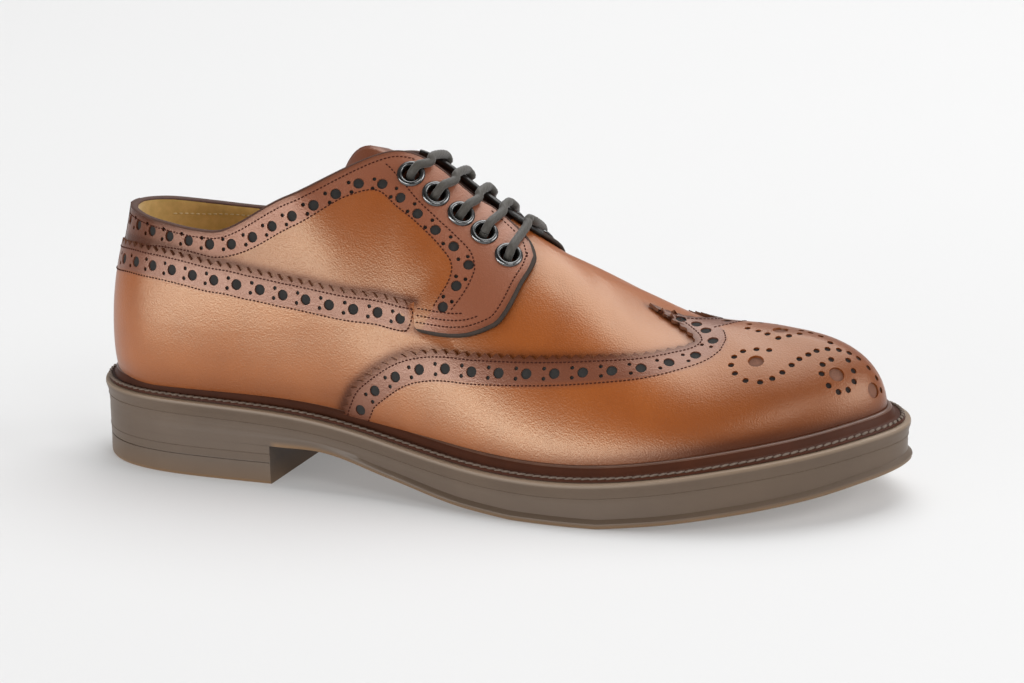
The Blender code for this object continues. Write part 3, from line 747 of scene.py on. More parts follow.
def settle(points, station, height, profile, rounds=6):
    """Stations and heights of the places on the leather nearest to some points."""
    for _ in range(rounds):
        off = level(profile, station)
        du = (skin(station + TINY, height, off) - skin(station - TINY, height, off)) / (2 * TINY)
        dv = (skin(station, height, off) - skin(station, height - TINY, off)) / TINY
        miss = points - skin(station, height, off)
        uu, uv, vv = (du * du).sum(-1), (du * dv).sum(-1), (dv * dv).sum(-1)
        eu, ev = (du * miss).sum(-1), (dv * miss).sum(-1)
        det = uu * vv - uv * uv
        station = station + np.clip((vv * eu - uv * ev) / det, -0.2, 0.2)
        height = np.clip(height + np.clip((uu * ev - uv * eu) / det, -0.06, 0.06), 0.002, 1.0)
    return station, height


# how far each layer's face lies out from the last, by station
FOXING = (
    (0.0, 2.3), (4.5, 2.4), (5.1, 2.45), (5.24, 2.4), (5.3, 1.3), (5.36, 0.6), (5.5, 0.3), (5.95, -0.5),
    (12.0, -0.5),
)
FOXING_BELOW = (
    (0.0, 2.3), (4.8, 2.35), (5.1, 2.3), (5.25, 1.9), (5.4, 1.2), (5.6, 0.5), (5.9, -0.5), (12.0, -0.5),
)
QUARTER = ((0.0, 1.3), (4.0, 1.3), (4.6, 1.45), (5.0, 1.7), (5.3, 1.95), (5.6, 2.15), (6.0, 2.2), (12.0, 2.2))
WING = ((0.0, 3.3), (4.6, 3.3), (5.0, 3.0), (5.4, 2.5), (5.9, 2.0), (6.5, 1.7), (7.5, 1.5), (12.0, 1.5))

WING_EDGE = (
    (4.36, 0.035), (4.42, 0.11), (4.55, 0.203), (4.85, 0.288), (5.19, 0.35), (5.64, 0.408), (6.1, 0.445),
    (6.56, 0.478), (7.24, 0.53), (7.98, 0.618), (8.63, 0.745), (8.98, 0.815), (9.08, 0.855), (9.0, 0.92),
    (8.8, 0.965), (8.5, 1.0),
)
FOXING_EDGE = (
    (0.0, 0.81), (0.84, 0.84), (1.56, 0.868), (2.32, 0.88), (2.84, 0.873), (3.22, 0.845), (3.52, 0.772),
    (3.84, 0.69), (4.04, 0.65), (4.54, 0.55), (5.0, 0.508), (5.26, 0.507),
)
FACING_EDGE = (
    (5.29, 0.43), (5.46, 0.441), (5.64, 0.457), (5.79, 0.475), (5.93, 0.496), (6.11, 0.53), (6.25, 0.566),
    (6.38, 0.634), (6.51, 0.728), (6.61, 0.795), (6.67, 0.86),
)
FACING_TOP = ((6.67, 0.86), (6.6, 0.925), (6.45, 0.965), (6.2, 1.0))
PINKING = 4.15           # from tooth to tooth
TOOTH = 1.9              # depth of a tooth
print("wing edge", round(len(draw(WING_EDGE, WING, 1.0).point)), "mm a side")


# %% [markdown]
# ## Pinked edges
#
# The panels' edges are cut with a toothed tool into small triangles. The edge line is stepped off
# four times to a tooth, and every step moves in and out in turn. The sheet's next row lies just
# behind the teeth, so the sheet itself stays smooth.


# %% Teeth on an edge
def pinked(track, depth=TOOTH):
    """Points of a toothed edge; the track has four steps to a tooth."""
    wave = np.array([0.0, -0.5, -1.0, -0.5])[np.arange(len(track.point)) % 4] * depth
    return track.point + track.aside * wave[:, None]


def columns_below(top, base_station, base_height, low, rows, profile, ease=0.0, below=None):
    """A grid from an edge of given points down to a low line, straight down each station.

    Round the heel the sheet is drawn in towards the sole by the ease; a second profile may
    take over towards the sole."""
    share = np.linspace(0, 1, rows) ** 1.05
    heights = base_height[None, :] + (low - base_height)[None, :] * share[:, None]
    stations = np.broadcast_to(base_station, heights.shape)
    round_heel = 1 - ramp(np.minimum(stations % ROUND, ROUND - stations % ROUND), 0.6, 2.2)
    off = level(profile, stations)
    if below:
        off = off + (level(below, stations) - off) * (1 - ramp(heights, 0.4, 0.45))
    off = off - ease * round_heel * (1 - ramp(heights, 0.25, 0.75))
    return np.concatenate([top[None], skin(stations, heights, off)])


print("teeth on the wing:", round(len(draw(WING_EDGE, WING, PINKING).point)), "a side")

# %% [markdown]
# ## Holes
#
# Brogue holes are punched in rows: a large one, then a pair of small ones across the row. The
# punches are short cones, gathered into one cutter that a Boolean takes out of the panel, and a
# dark disc lies under each hole, where the lining shows through; under the toe's small holes and
# dimples the discs are darkened with painted shade.


# %% Punches and hole floors
Hole = namedtuple("Hole", "point normal radius sides")
BIG, BIG_SIDES = 1.95, 14
SMALL, SMALL_SIDES = 0.75, 8
PAIR_SHARE = 0.63        # where a pair lies, from one large hole to the next
PAIR_SPREAD = 1.85       # from the row's line to a small hole
HOLE_ROW = -7.0          # from a pinked edge to its row of holes
NARROW, WIDE = 0.94, 1.14     # a punch's ends, as shares of its radius


def holes_along(track, radius, sides):
    return [Hole(point, normal, radius, sides) for point, normal in zip(track.point, track.normal)]


def pairs_along(track):
    """A pair of small holes across the row, part of the way to the next large one."""
    found = []
    for place in range(len(track.point) - 1):
        point, aside, normal = (
            part[place] * (1 - PAIR_SHARE) + part[place + 1] * PAIR_SHARE
            for part in (track.point, track.aside, track.normal)
        )
        found += [Hole(point + aside * PAIR_SPREAD * way, normal, SMALL, SMALL_SIDES) for way in (-1, 1)]
    return found


def brogue(row):
    """A row of large holes, with a pair of small ones between each two."""
    return holes_along(row, BIG, BIG_SIDES) + pairs_along(row)


def upright(hole, lift=0.0):
    turned = Vector((0, 0, 1)).rotation_difference(Vector(hole.normal)).to_matrix().to_4x4()
    return Matrix.Translation(Vector(metres(hole.point + np.asarray(hole.normal) * lift))) @ turned


def punch_set(name, holes, depth=3.0):
    """One cutter for all of a panel's holes, a little wider at the top."""
    bm = bmesh.new()
    for hole in holes:
        bmesh.ops.create_cone(
            bm, cap_ends=True, segments=hole.sides, radius1=hole.radius * NARROW * MM,
            radius2=hole.radius * WIDE * MM, depth=depth * MM, matrix=upright(hole),
        )
    mesh = bpy.data.meshes.new(name)
    bm.to_mesh(mesh)
    bm.free()
    cutter = bpy.data.objects.new(name, mesh)
    cutter.hide_render = True
    bpy.context.scene.collection.objects.link(cutter)
    return cutter


def hole_floors(name, holes, depth, material=None):
    """Thin dark discs under the holes."""
    bm = bmesh.new()
    for hole in holes:
        wide = (hole.radius + 0.35) * MM
        bmesh.ops.create_cone(
            bm, cap_ends=True, segments=hole.sides, radius1=wide, radius2=wide, depth=0.3 * MM,
            matrix=upright(hole, -depth - 0.15),
        )
    return add_piece(name, bm, [material or hole_floor])


print("hole helpers ready")


# %% [markdown]
# ## Painting the burnish and the shade
#
# A shoemaker burnishes with wax on a cloth: darkest along edges, fading into the panel. Beside
# the edge of a panel that lies on top, a painted shadow darkens the leather beneath in the same way.
# The fade is a smooth function of the distance to the nearest line, worked out per vertex and
# kept as an attribute that the leather recipe reads. In each piece's sum below, a share of wax or
# of painted shadow stands before its fade, whose last number is its reach in millimetres.


# %% Distances and fades
def lookup(points):
    tree = kdtree.KDTree(len(points))
    for number, point in enumerate(points):
        tree.insert(point, number)
    tree.balance()
    return tree


def vertices_mm(obj):
    flat = np.empty(len(obj.data.vertices) * 3)
    obj.data.vertices.foreach_get("co", flat)
    return flat.reshape(-1, 3) / MM + (CENTRE_X, CENTRE_Y, 0.0)


def distance_to(places, *tracks):
    tree = lookup(np.concatenate([track.point for track in tracks]))
    return np.array([tree.find(place)[2] for place in places])


def above(places, *tracks):
    """Distance to the nearest line, counted up from it (below is negative)."""
    points = np.concatenate([track.point for track in tracks])
    asides = np.concatenate([track.aside for track in tracks])
    tree = lookup(points)
    nearest = np.array([tree.find(place)[1] for place in places])
    return ((places - points[nearest]) * asides[nearest]).sum(1)


def fade(distance, reach):
    return np.exp(-(np.maximum(distance, 0) / reach) ** 2)


def ramp(value, start, end):
    t = np.clip((value - start) / (end - start), 0, 1)
    return t * t * (3 - 2 * t)


def paint(obj, **values):
    for name in ("burnish", "band"):
        attribute = obj.data.attributes.new(name, "FLOAT", "POINT")
        value = np.broadcast_to(values.get(name, 0.0), len(obj.data.vertices))
        attribute.data.foreach_set("value", np.clip(value, 0, 1).astype(np.float32))


EDGE_WAX, EDGE_REACH = 0.95, 2.8      # along a panel's own pinked edge
SEAM_SHADOW, SEAM_SHADOW_REACH = 0.95, 1.9      # painted shadow beside the edge of a panel that lies on top
SOFT_SHADOW, SOFT_SHADOW_REACH = 0.18, 6.0      # fainter painted shadow, further out from that panel
print("paint helpers ready")


# %% [markdown]
# ## Stitches
#
# Machine stitches lie in a row, each a short grain of thread that dips at both ends. A squashed
# little sphere per stitch is enough, turned along its row.


# %% Rows of stitches
def stitch_row(bm, track, length=1.15, width=0.6, height=0.4, lift=0.04):
    row = bmesh.new()
    for point, along, normal in zip(track.point, track.along, track.normal):
        across = np.cross(normal, along)
        axes = Vector(along) * length, Vector(across) * width, Vector(normal) * height
        place = Matrix.Translation(Vector(metres(point + normal * lift)))
        place = place @ Matrix(axes).transposed().to_4x4() @ turned_flat
        bmesh.ops.create_uvsphere(row, u_segments=6, v_segments=4, radius=0.5 * MM, matrix=place)
    mesh = bpy.data.meshes.new("row")
    row.to_mesh(mesh)
    row.free()
    bm.from_mesh(mesh)
    bpy.data.meshes.remove(mesh)


# a sphere's poles turned to lie along the row
turned_flat = Matrix.Rotation(math.pi / 2, 4, "Y")
print("stitch helper ready")

# %% [markdown]
# ## The lasted upper
#
# Under the panels lies the vamp with the lining: one hollow shell that is open at the collar and
# under the foot. Only its vamp and its inside can be seen. It is laid as one fine grid round the
# last, with a small patch that carries the vamp across below the throat.

# %% Upper
SIDES = (False, True)
NAMED_SIDES = (("lateral", False), ("medial", True))
LACE_HOLE, LACE_HOLE_SIDES = 3.7, 20
EYELETS = ((5.17, 0.91), (5.46, 0.88), (5.77, 0.875), (6.07, 0.858), (6.37, 0.812))


def eyelet_spot(place, medial):
    station, height = place
    station = side_of(np.array([station]), medial)
    point = skin(station, np.array([height]), level(QUARTER, station))[0]
    return point, last_normal(station, np.array([height]))[0]


lace_holes = [
    [Hole(*eyelet_spot(place, medial), LACE_HOLE, LACE_HOLE_SIDES) for place in EYELETS] for medial in SIDES
]
stations = np.linspace(0, ROUND, 385)
heights = np.linspace(0, 1, 60)
below_throat = stations[(stations > 6.32) & (stations < 7.05)]
bridge = skin(np.stack([below_throat, ROUND - below_throat], 1), 1.0, 0.0)
wide = np.linspace(0, 1, 7)[None, :, None]
bridge = bridge[:, :1] * (1 - wide) + bridge[:, 1:] * wide
upper_cutter = punch_set("upper_punches", sum(lace_holes, []), depth=9.0)
upper = panel(
    "lasted_upper", [skin(stations[:, None], heights[None, :], 0.0), bridge], THICK["upper"],
    [tan_calf, suede_lining, raw_edge], ["upper"], upper_cutter,
)

near_wing_edge = draw(WING_EDGE, WING, PINKING / 4)
# the far side mirrors the near one step by step, so that the two halves meet point by point
wing_edges = [near_wing_edge, as_track(ROUND - near_wing_edge.station, near_wing_edge.height, WING, True)]
foxing_edges = [draw(FOXING_EDGE, FOXING, PINKING / 4, medial) for medial in SIDES]
facing_edges = [draw(FACING_EDGE, QUARTER, 0.8, medial) for medial in SIDES]
facing_tops = [draw(FACING_TOP, QUARTER, 0.8, medial) for medial in SIDES]
places = vertices_mm(upper)
to_edges = distance_to(places, *wing_edges, *facing_edges, *facing_tops)
# beside the edges of the wing and the facings, which lie on top, a painted shadow darkens the upper
paint(upper, burnish=SEAM_SHADOW * fade(to_edges, SEAM_SHADOW_REACH) + SOFT_SHADOW * fade(to_edges, SOFT_SHADOW_REACH))
print("upper painted")

# %% [markdown]
# ## Wing cap
#
# The wing cap covers the toe, runs back along both sides to the waist and comes to a peak on the
# vamp. Its edge line makes a sharp turn where peak and side meet, so the sheet is laid in four
# parts on each half: the side below the pinked edge, the peak, the strip under it and the toe.

# %% Wing cap sheet
WING_FOOT = 0.03
WING_SECOND_ROW = -2.9   # the sheet's second row lies just behind the teeth
FALL = np.linspace(0, 1, 26) ** 1.05     # rows from an edge down to the welt


def wing_grids(edge, medial):
    to_tip = np.arange(len(edge.point))[::-1] * PINKING / 4
    # the teeth are half as deep on the peak and fade out over its last 8 mm
    teeth = pinked(edge, TOOTH * np.clip(to_tip / 8, 0, 1) * (0.5 + 0.5 * ramp(to_tip, 26, 40)))
    station, height = side_of(edge.station, medial), edge.height
    turn_at = int(np.argmax(station))
    behind = beside(edge, WING_SECOND_ROW, WING, 0)
    # the side, from the waist to the turn of the edge
    side_station = np.maximum.accumulate(side_of(behind.station, medial)[: turn_at + 1])
    side_height = np.maximum(behind.height[: turn_at + 1], WING_FOOT + 0.002)
    low = np.full_like(side_height, WING_FOOT)
    side = columns_below(
        teeth[: turn_at + 1], side_of(side_station, medial), side_height, low, len(FALL), WING,
    )
    # the peak: rows from its pinked edge to a line just ahead of the turn
    front = station[turn_at] + 0.2
    climb = np.maximum.accumulate((height[turn_at:] - height[turn_at]) / (1 - height[turn_at]))
    start = np.stack([station[turn_at:], height[turn_at:]], 1)
    end = np.stack([np.full(len(climb), front), side_height[-1] + (1 - side_height[-1]) * climb], 1)
    share = np.minimum(4.0 / ((front - start[:, :1]) * 24), 0.75)
    first = start + (end - start) * share
    first[0] = side_station[-1], side_height[-1]
    across = np.linspace(0, 1, 10)[None, :, None]
    rows = first[:, None] + (end - first)[:, None] * across
    peak_side = side_of(rows[..., 0], medial)
    peak = np.concatenate([teeth[turn_at:, None], skin(peak_side, rows[..., 1], level(WING, peak_side))], 1)
    # under the peak's first row, and the toe from that line round to the tip
    below = side_height[-1] + (WING_FOOT - side_height[-1]) * FALL
    fill_side = side_of(rows[0, :, 0], medial)
    fill = skin(fill_side[None, :], below[:, None], level(WING, fill_side)[None, :])
    # the ridge ends at the tip, so the lines lie further apart there
    to_tip_share = np.linspace(1, 0, 60)
    toe_side = side_of(TOE - (TOE - front) * to_tip_share ** 0.8, medial)
    here = np.concatenate([end[::-1, 1], below[1:]])
    # at the tip both halves use the same heights
    shoulder = 0.75
    shared = np.concatenate([
        np.linspace(1, shoulder, len(end)), shoulder + (WING_FOOT - shoulder) * FALL[1:],
    ])
    toe_heights = here[:, None] * to_tip_share + shared[:, None] * (1 - to_tip_share)
    toe = skin(toe_side[None, :], toe_heights, level(WING, toe_side)[None, :])
    return [side, peak, fill, toe]


grids = [grid for edge, medial in zip(wing_edges, SIDES) for grid in wing_grids(edge, medial)]
print("wing sheet", sum(grid.shape[0] * grid.shape[1] for grid in grids), "points")

# %% Holes of the wing and its medallion
TOE_HOLE, TOE_HOLE_SIDES = 1.12, 10
DIMPLE, DIMPLE_SIDES = 2.75, 20
WING_PITCH, WING_ROW_START = 10.3, 3.0
# the two rows stop short of the ridge, where one row of holes runs up to the peak
wing_rows = [
    shortened(beside(edge, HOLE_ROW, WING, WING_PITCH, WING_ROW_START), -1) for edge in wing_edges
]
PEAK_HOLES = ((9.47, 0.947), (9.385, 0.9999), (9.07, 0.9999))
wing_holes = [hole for row in wing_rows for hole in brogue(row)]
SCROLL = (
    (10.32, 0.755), (10.08, 0.768), (9.79, 0.753), (9.56, 0.71), (9.42, 0.647), (9.4, 0.583),
    (9.49, 0.522), (9.68, 0.495), (9.89, 0.508), (10.12, 0.545), (10.4, 0.595), (10.68, 0.638),
    (10.97, 0.66), (11.25, 0.675), (11.55, 0.66), (11.78, 0.615), (11.93, 0.555), (11.99, 0.485),
    (11.99, 0.39), (12.02, 0.297), (11.96, 0.208),
)
RING = (
    (11.59, 0.512), (11.44, 0.422), (11.27, 0.345), (11.05, 0.3), (10.85, 0.307), (10.74, 0.372),
    (10.78, 0.475), (10.97, 0.545), (11.25, 0.565),
)
FAR_SCROLL = (
    (12.38, 0.853), (11.79, 0.91), (11.15, 0.895), (11.46, 0.993), (13.15, 0.968), (13.61, 0.953),
    (13.96, 0.884), (14.09, 0.804), (13.985, 0.744), (13.73, 0.714), (12.94, 0.787), (12.73, 0.765),
    (12.48, 0.733), (12.04, 0.69),
)
DIMPLES = ((9.85, 0.66), (12.98, 0.885), (11.04, 0.438), (11.64, 0.235))


def holes_at(spots, radius, sides):
    station, height = np.array(spots).T
    points = skin(station, height, level(WING, station))
    return [Hole(point, normal, radius, sides) for point, normal in zip(points, last_normal(station, height))]


wing_holes += holes_at(PEAK_HOLES, BIG, BIG_SIDES)
medallion = holes_at(SCROLL + RING + FAR_SCROLL, TOE_HOLE, TOE_HOLE_SIDES)
dimples = holes_at(DIMPLES, DIMPLE, DIMPLE_SIDES)
wing_cutter = punch_set("wing_punches", wing_holes + medallion + dimples)
wing = panel(
    "wing_cap_leather", grids, THICK["wing"], [tan_calf, cut_edge], ["wing_cap"],
    wing_cutter, near=0.02,
)
hole_floors("wing_hole_floors", wing_holes, depth=0.5)
hole_floors("medallion_floors", medallion, depth=0.6, material=small_hole_floor)
hole_floors("wing_dimple_floors", dimples, depth=0.9, material=shaded_dimple_floor)
places = vertices_mm(wing)
near_edge = distance_to(places, *wing_edges)
# height above the welt, with stations taken as evenly spread along the shoe
foot = places[:, 2] - lip_z(TOE - np.abs(TOE - TOE * places[:, 0] / SOLE_LENGTH))
paint(
    wing,
    band=1 - ramp(near_edge, 10.6, 12.4),
    burnish=EDGE_WAX * fade(near_edge, EDGE_REACH) + 0.3 * fade(foot - 3, 5)
    + 0.45 * fade(foot - 2, 3) * ramp(places[:, 0], 140, 250) + 0.5 * ramp(places[:, 0], 215, 285),
)
print("wing holes", len(wing_holes), "medallion", len(medallion))

# %% [markdown]
# ## Quarters
#
# The two quarters make the collar and the facings. Each is laid in two parts: from the back seam
# to the waist, and the facing with its rounded front. Rows of brogue holes run along the collar
# and turn down behind the eyelets.

# %% Quarter sheets
COLLAR_HOLES = (
    (0.3, 0.942), (0.8, 0.945), (1.44, 0.948), (1.8, 0.948), (2.19, 0.945), (2.59, 0.945), (2.92, 0.943),
    (3.18, 0.932), (3.41, 0.915), (3.64, 0.912), (3.89, 0.915), (4.14, 0.92), (4.33, 0.92), (4.53, 0.915),
    (4.75, 0.902), (5.01, 0.83), (5.24, 0.782), (5.45, 0.758), (5.68, 0.743), (5.89, 0.718), (5.78, 0.638),
    (5.6, 0.532),
)
COLLAR_SEAM = (
    (0.0, 0.795), (0.7, 0.805), (1.3, 0.835), (1.8, 0.868), (2.2, 0.886), (2.7, 0.892), (3.2, 0.872),
    (3.6, 0.865), (4.0, 0.877), (4.38, 0.89), (4.56, 0.885), (4.8, 0.858), (5.03, 0.787), (5.26, 0.748),
    (5.54, 0.713), (5.68, 0.682), (5.66, 0.623), (5.5, 0.525),
)
BAND_FRONT_SEAM = (
    (4.9, 0.945), (5.04, 0.89), (5.25, 0.825), (5.5, 0.795), (5.67, 0.784), (5.89, 0.762), (5.965, 0.72),
    (5.95, 0.684), (5.85, 0.614), (5.71, 0.542),
)


def quarter_grids(medial):
    back_stations = np.linspace(0.0, 5.29, 190)
    edge_station, edge_height = smooth_line(FOXING_EDGE + ((5.3, 0.5),)).T
    low = np.interp(back_stations, edge_station, edge_height) - 0.05
    low = np.where(back_stations > 5.2, low + (0.43 - low) * ramp(back_stations, 5.2, 5.29), low)
    share = np.linspace(0, 1, 56)[:, None]
    back_heights = low[None, :] + (1 - low)[None, :] * share
    back_side = side_of(back_stations, medial)
    back_part = skin(back_side[None, :], back_heights, level(QUARTER, back_side)[None, :])
    bottom = draw(FACING_EDGE, QUARTER, 0.7, medial)
    top_line = smooth_line(((5.29, 1.0), (5.6, 1.0), (5.9, 1.0)) + FACING_TOP[::-1])
    spread = np.linspace(0, 1, len(bottom.point))
    steps = np.diff(top_line, axis=0)
    # rough lengths: 33 mm to a station and 60 mm to the whole height
    length = np.concatenate([[0], np.cumsum(np.hypot(steps[:, 0] * 33, steps[:, 1] * 60))])
    top_station = np.interp(spread * length[-1], length, top_line[:, 0])
    top_height = np.interp(spread * length[-1], length, top_line[:, 1])
    low_station = side_of(bottom.station, medial)
    front_stations = low_station[None, :] + (top_station - low_station)[None, :] * share
    front_heights = bottom.height[None, :] + (top_height - bottom.height)[None, :] * share
    front_side = side_of(front_stations, medial)
    return [back_part, skin(front_side, front_heights, level(QUARTER, front_side))]


COLLAR_PITCH = 9.0
quarter_pieces = []
quarter_holes = []
for side, medial in NAMED_SIDES:
    holes = brogue(draw(COLLAR_HOLES, QUARTER, COLLAR_PITCH, medial))
    cutter = punch_set(f"quarter_punches_{side}", holes + lace_holes[medial], depth=3.4)
    quarter_pieces.append(panel(
        f"quarter_leather_{side}", quarter_grids(medial), THICK["quarter"], [brown_calf, raw_edge],
        [f"quarter_{side}"], cutter, near=0.05,
    ))
    quarter_holes += holes
hole_floors("quarter_hole_floors", quarter_holes, depth=0.8)

topline = [(station, 1.0) for station in (0.0, 1.2, 2.4, 3.6, 4.4, 5.2)]
toplines = [draw(topline, QUARTER, 1.0, medial) for medial in SIDES]
for piece, medial in zip(quarter_pieces, SIDES):
    places = vertices_mm(piece)
    seam = draw(COLLAR_SEAM, QUARTER, 0.8, medial)
    over_seam = above(places, seam)
    to_top = distance_to(places, toplines[medial])
    to_front = distance_to(places, facing_edges[medial], facing_tops[medial])
    to_foxing = distance_to(places, foxing_edges[medial])
    # darker along the topline's and the facing's own edges (wax); beside the foxing, which lies on top, a
    # painted shadow and a wider darker fade; darker towards the heel
    paint(
        piece,
        band=ramp(over_seam, -0.4, 0.6),
        burnish=0.5 * fade(to_top, 1.6) + 0.4 * fade(to_front, 1.6) + SEAM_SHADOW * fade(to_foxing, SEAM_SHADOW_REACH)
        + 0.2 * fade(to_foxing, 8.0) + 0.25 * fade(to_top - 6, 9.0) * (1 - ramp(places[:, 0], 60, 150))
        + 0.35 * (1 - ramp(places[:, 0], 20, 70)),
    )
print("quarter holes", len(quarter_holes))

# %% [markdown]
# ## Heel foxing
#
# The foxing is the counter cover: it wraps the heel, and its pinked top edge runs forward to the
# facings, where it ends in a round corner and passes into the vamp.

# %% Foxing
FOXING_LOW = 0.03
FOXING_SECOND_ROW = -2.7
FOXING_PITCH, FOXING_ROW_START = 9.3, 2.0


def foxing_grid(edge, medial):
    target = pinked(edge)
    target[:1] = edge.point[:1]
    behind = beside(edge, FOXING_SECOND_ROW, FOXING, 0)
    station = np.maximum.accumulate(side_of(behind.station, medial))
    low = np.full_like(station, FOXING_LOW)
    station[0] = 0.0
    rear = columns_below(
        target, side_of(station, medial), behind.height, low, 40, FOXING, ease=1.5, below=FOXING_BELOW,
    )
    # the part that runs on under the facing and dips into the vamp
    ahead = np.linspace(station[-1], 5.95, 24)
    end = behind.height[-1]
    top = np.interp(ahead, [station[-1], 5.32, 5.6, 5.95], [end, 0.46, 0.475, 0.53])
    tip = skin(side_of(ahead, medial), top + 0.004, level(FOXING, ahead))
    tip[0] = target[-1]
    low = np.full_like(ahead, FOXING_LOW)
    return [rear, columns_below(tip, side_of(ahead, medial), top, low, 40, FOXING, below=FOXING_BELOW)]


# the row stops a little short of the foxing's front end
foxing_rows = [
    beside(shortened(edge, -4), HOLE_ROW, FOXING, FOXING_PITCH, FOXING_ROW_START) for edge in foxing_edges
]
foxing_holes = [hole for row in foxing_rows for hole in brogue(row)]
foxing_grids = [grid for edge, medial in zip(foxing_edges, SIDES) for grid in foxing_grid(edge, medial)]
foxing_cutter = punch_set("foxing_punches", foxing_holes)
foxing = panel(
    "heel_foxing_leather", foxing_grids, THICK["foxing"], [tan_calf, cut_edge],
    ["heel_foxing"], foxing_cutter, near=0.05,
)
hole_floors("foxing_hole_floors", foxing_holes, depth=0.6)
places = vertices_mm(foxing)
near_edge = distance_to(places, *foxing_edges)
to_others = distance_to(places, *wing_edges, *facing_edges)
foot = places[:, 2] - lip_z(np.full(len(places), 2.0))
# darker along its own pinked edge (wax), towards the welt and at the heel; beside the wing's and the facings'
# edges, which lie on top, a painted shadow
paint(
    foxing,
    band=(1 - ramp(near_edge, 10.6, 12.2)) * (1 - ramp(places[:, 0], 136, 139)),
    burnish=EDGE_WAX * fade(near_edge, EDGE_REACH) * (1 - ramp(places[:, 0], 134, 140))
    + 0.3 * fade(foot - 4, 6) + 0.35 * fade(places[:, 0] - 4, 8)
    + SEAM_SHADOW * fade(to_others, SEAM_SHADOW_REACH) + SOFT_SHADOW * fade(to_others, SOFT_SHADOW_REACH),
)

# %% Back strip
def strip_grid(medial):
    across = np.linspace(0, 0.26, 8)
    up = np.linspace(0.8, 1.0, 16)
    side_stations = side_of(across, medial)
    return skin(side_stations[None, :], up[:, None], 2.2)


back_strip = panel(
    "back_strip_leather", [strip_grid(medial) for medial in SIDES], THICK["strip"],
    [brown_calf, raw_edge], ["back_strip"],
)
paint(back_strip, band=1.0, burnish=0.7)

# %% [markdown]
# ## Tongue
#
# The tongue lies under the facings and stands up a little behind the top eyelets.

# %% Tongue
TONGUE_OFF = -2.6        # the tongue lies this far inside the last's face
TONGUE_REACH, TONGUE_LIFT, TONGUE_DROOP = 25.0, 5.0, 9.0      # of its free end
along_tongue = np.linspace(7.2, 5.0, 36)
across_tongue = np.linspace(0.7, 1.0, 14)
tongue_side = skin(along_tongue[:, None], across_tongue[None, :], TONGUE_OFF)
tongue_far = skin(ROUND - along_tongue[:, None], across_tongue[None, ::-1], TONGUE_OFF)
tongue_rows = np.concatenate([tongue_side, tongue_far], 1)
middle = tongue_rows[-1].mean(0)
free_end = []
for far in np.sin(np.linspace(0.08, 0.5, 14) * math.pi):
    narrow = math.sqrt(max(1 - far ** 2.6, 0.004))
    row = middle + (tongue_rows[-1] - middle) * (1, narrow, 0.55 + 0.45 * narrow)
    rising = TONGUE_LIFT * math.sin(2.8 * far) - TONGUE_DROOP * far ** 4
    free_end.append(row + np.array([-TONGUE_REACH * far, 0.0, rising]))
tongue_sheet = np.concatenate([tongue_rows, np.stack(free_end)])
tongue = panel(
    "tongue_leather", [tongue_sheet], THICK["tongue"], [brown_calf, brown_calf, raw_edge],
    ["tongue"],
)
paint(tongue, band=1.0, burnish=0.5)

# %% [markdown]
# ## Eyelets and lace
#
# Each eyelet is a small turned ring: its half profile is spun round the axis. The lace is a braid
# that comes up through each eyelet, lies over the facings and goes down through the opposite one.

# %% Eyelets
EYELET_PROFILE = (
    (3.0, -2.2), (3.0, -0.2), (3.1, 0.3), (3.5, 0.8), (4.0, 0.95), (4.5, 0.85), (4.95, 0.5), (5.15, 0.02),
    (4.9, -0.05), (3.45, -0.1), (3.4, -2.2), (3.0, -2.2),
)


def make_eyelet(name, place, medial, node):
    bm = bmesh.new()
    rim = [bm.verts.new((radius * MM, 0.0, up * MM)) for radius, up in EYELET_PROFILE]
    edges = [bm.edges.new(pair) for pair in zip(rim, rim[1:])]
    bmesh.ops.spin(
        bm, geom=rim + edges, cent=(0, 0, 0), axis=(0, 0, 1), angle=math.tau, steps=36, use_merge=True,
    )
    bmesh.ops.remove_doubles(bm, verts=bm.verts, dist=1e-6)
    bmesh.ops.recalc_face_normals(bm, faces=bm.faces)
    bmesh.ops.transform(bm, matrix=upright(Hole(*eyelet_spot(place, medial), 0, 0)), verts=bm.verts)
    return add_piece(name, bm, [eyelet_enamel], [node])


for side, medial in NAMED_SIDES:
    for number, place in enumerate(EYELETS, 1):
        make_eyelet(f"turned_eyelet_{side}_{number}", place, medial, f"eyelet_{side}_{number}")
print("eyelets", 2 * len(EYELETS))

# %% Lace
LACE_RADIUS = 1.6
LACE_CLEAR = 0.15        # between the lace and the facing under it
LACE_AHEAD = 0.18        # stations from an eyelet to where its lace crosses the facing's edge
LACE_RISE = ((-0.8, -4.5), (-0.4, -1.4), (1.0, 0.9), (4.0, 2.5))     # inward and up from an eyelet
LACE_UP = (0.45, 0.0, 0.9)
STRANDS, STRAND_LENGTH, STRAND_RELIEF = 6, 2.8, 0.025


def lace_route(place):
    """Up out of one eyelet, over both facings' edges and down into the other."""
    over = LACE_RADIUS + LACE_CLEAR
    sides = []
    for medial in SIDES:
        ahead = side_of(place[0] + LACE_AHEAD, medial)
        centre, axis = eyelet_spot(place, medial)
        edge = skin(ahead, 1.0, level(QUARTER, ahead))
        inward = edge - centre
        width = np.linalg.norm(inward)
        inward = inward / width
        rising = [centre + inward * go + axis * up for go, up in LACE_RISE]
        near_edge = skin(ahead, 1.0 - 2.2 / width * (1 - place[1]), level(QUARTER, ahead) + over)
        sides.append(rising + [near_edge, edge + last_normal(ahead, 1.0) * over + inward * 0.9])
    middle = (sides[0][-1] + sides[1][-1]) / 2 + np.array([0.15, 0.0, 0.5])
    return sides[0] + [middle] + sides[1][::-1]


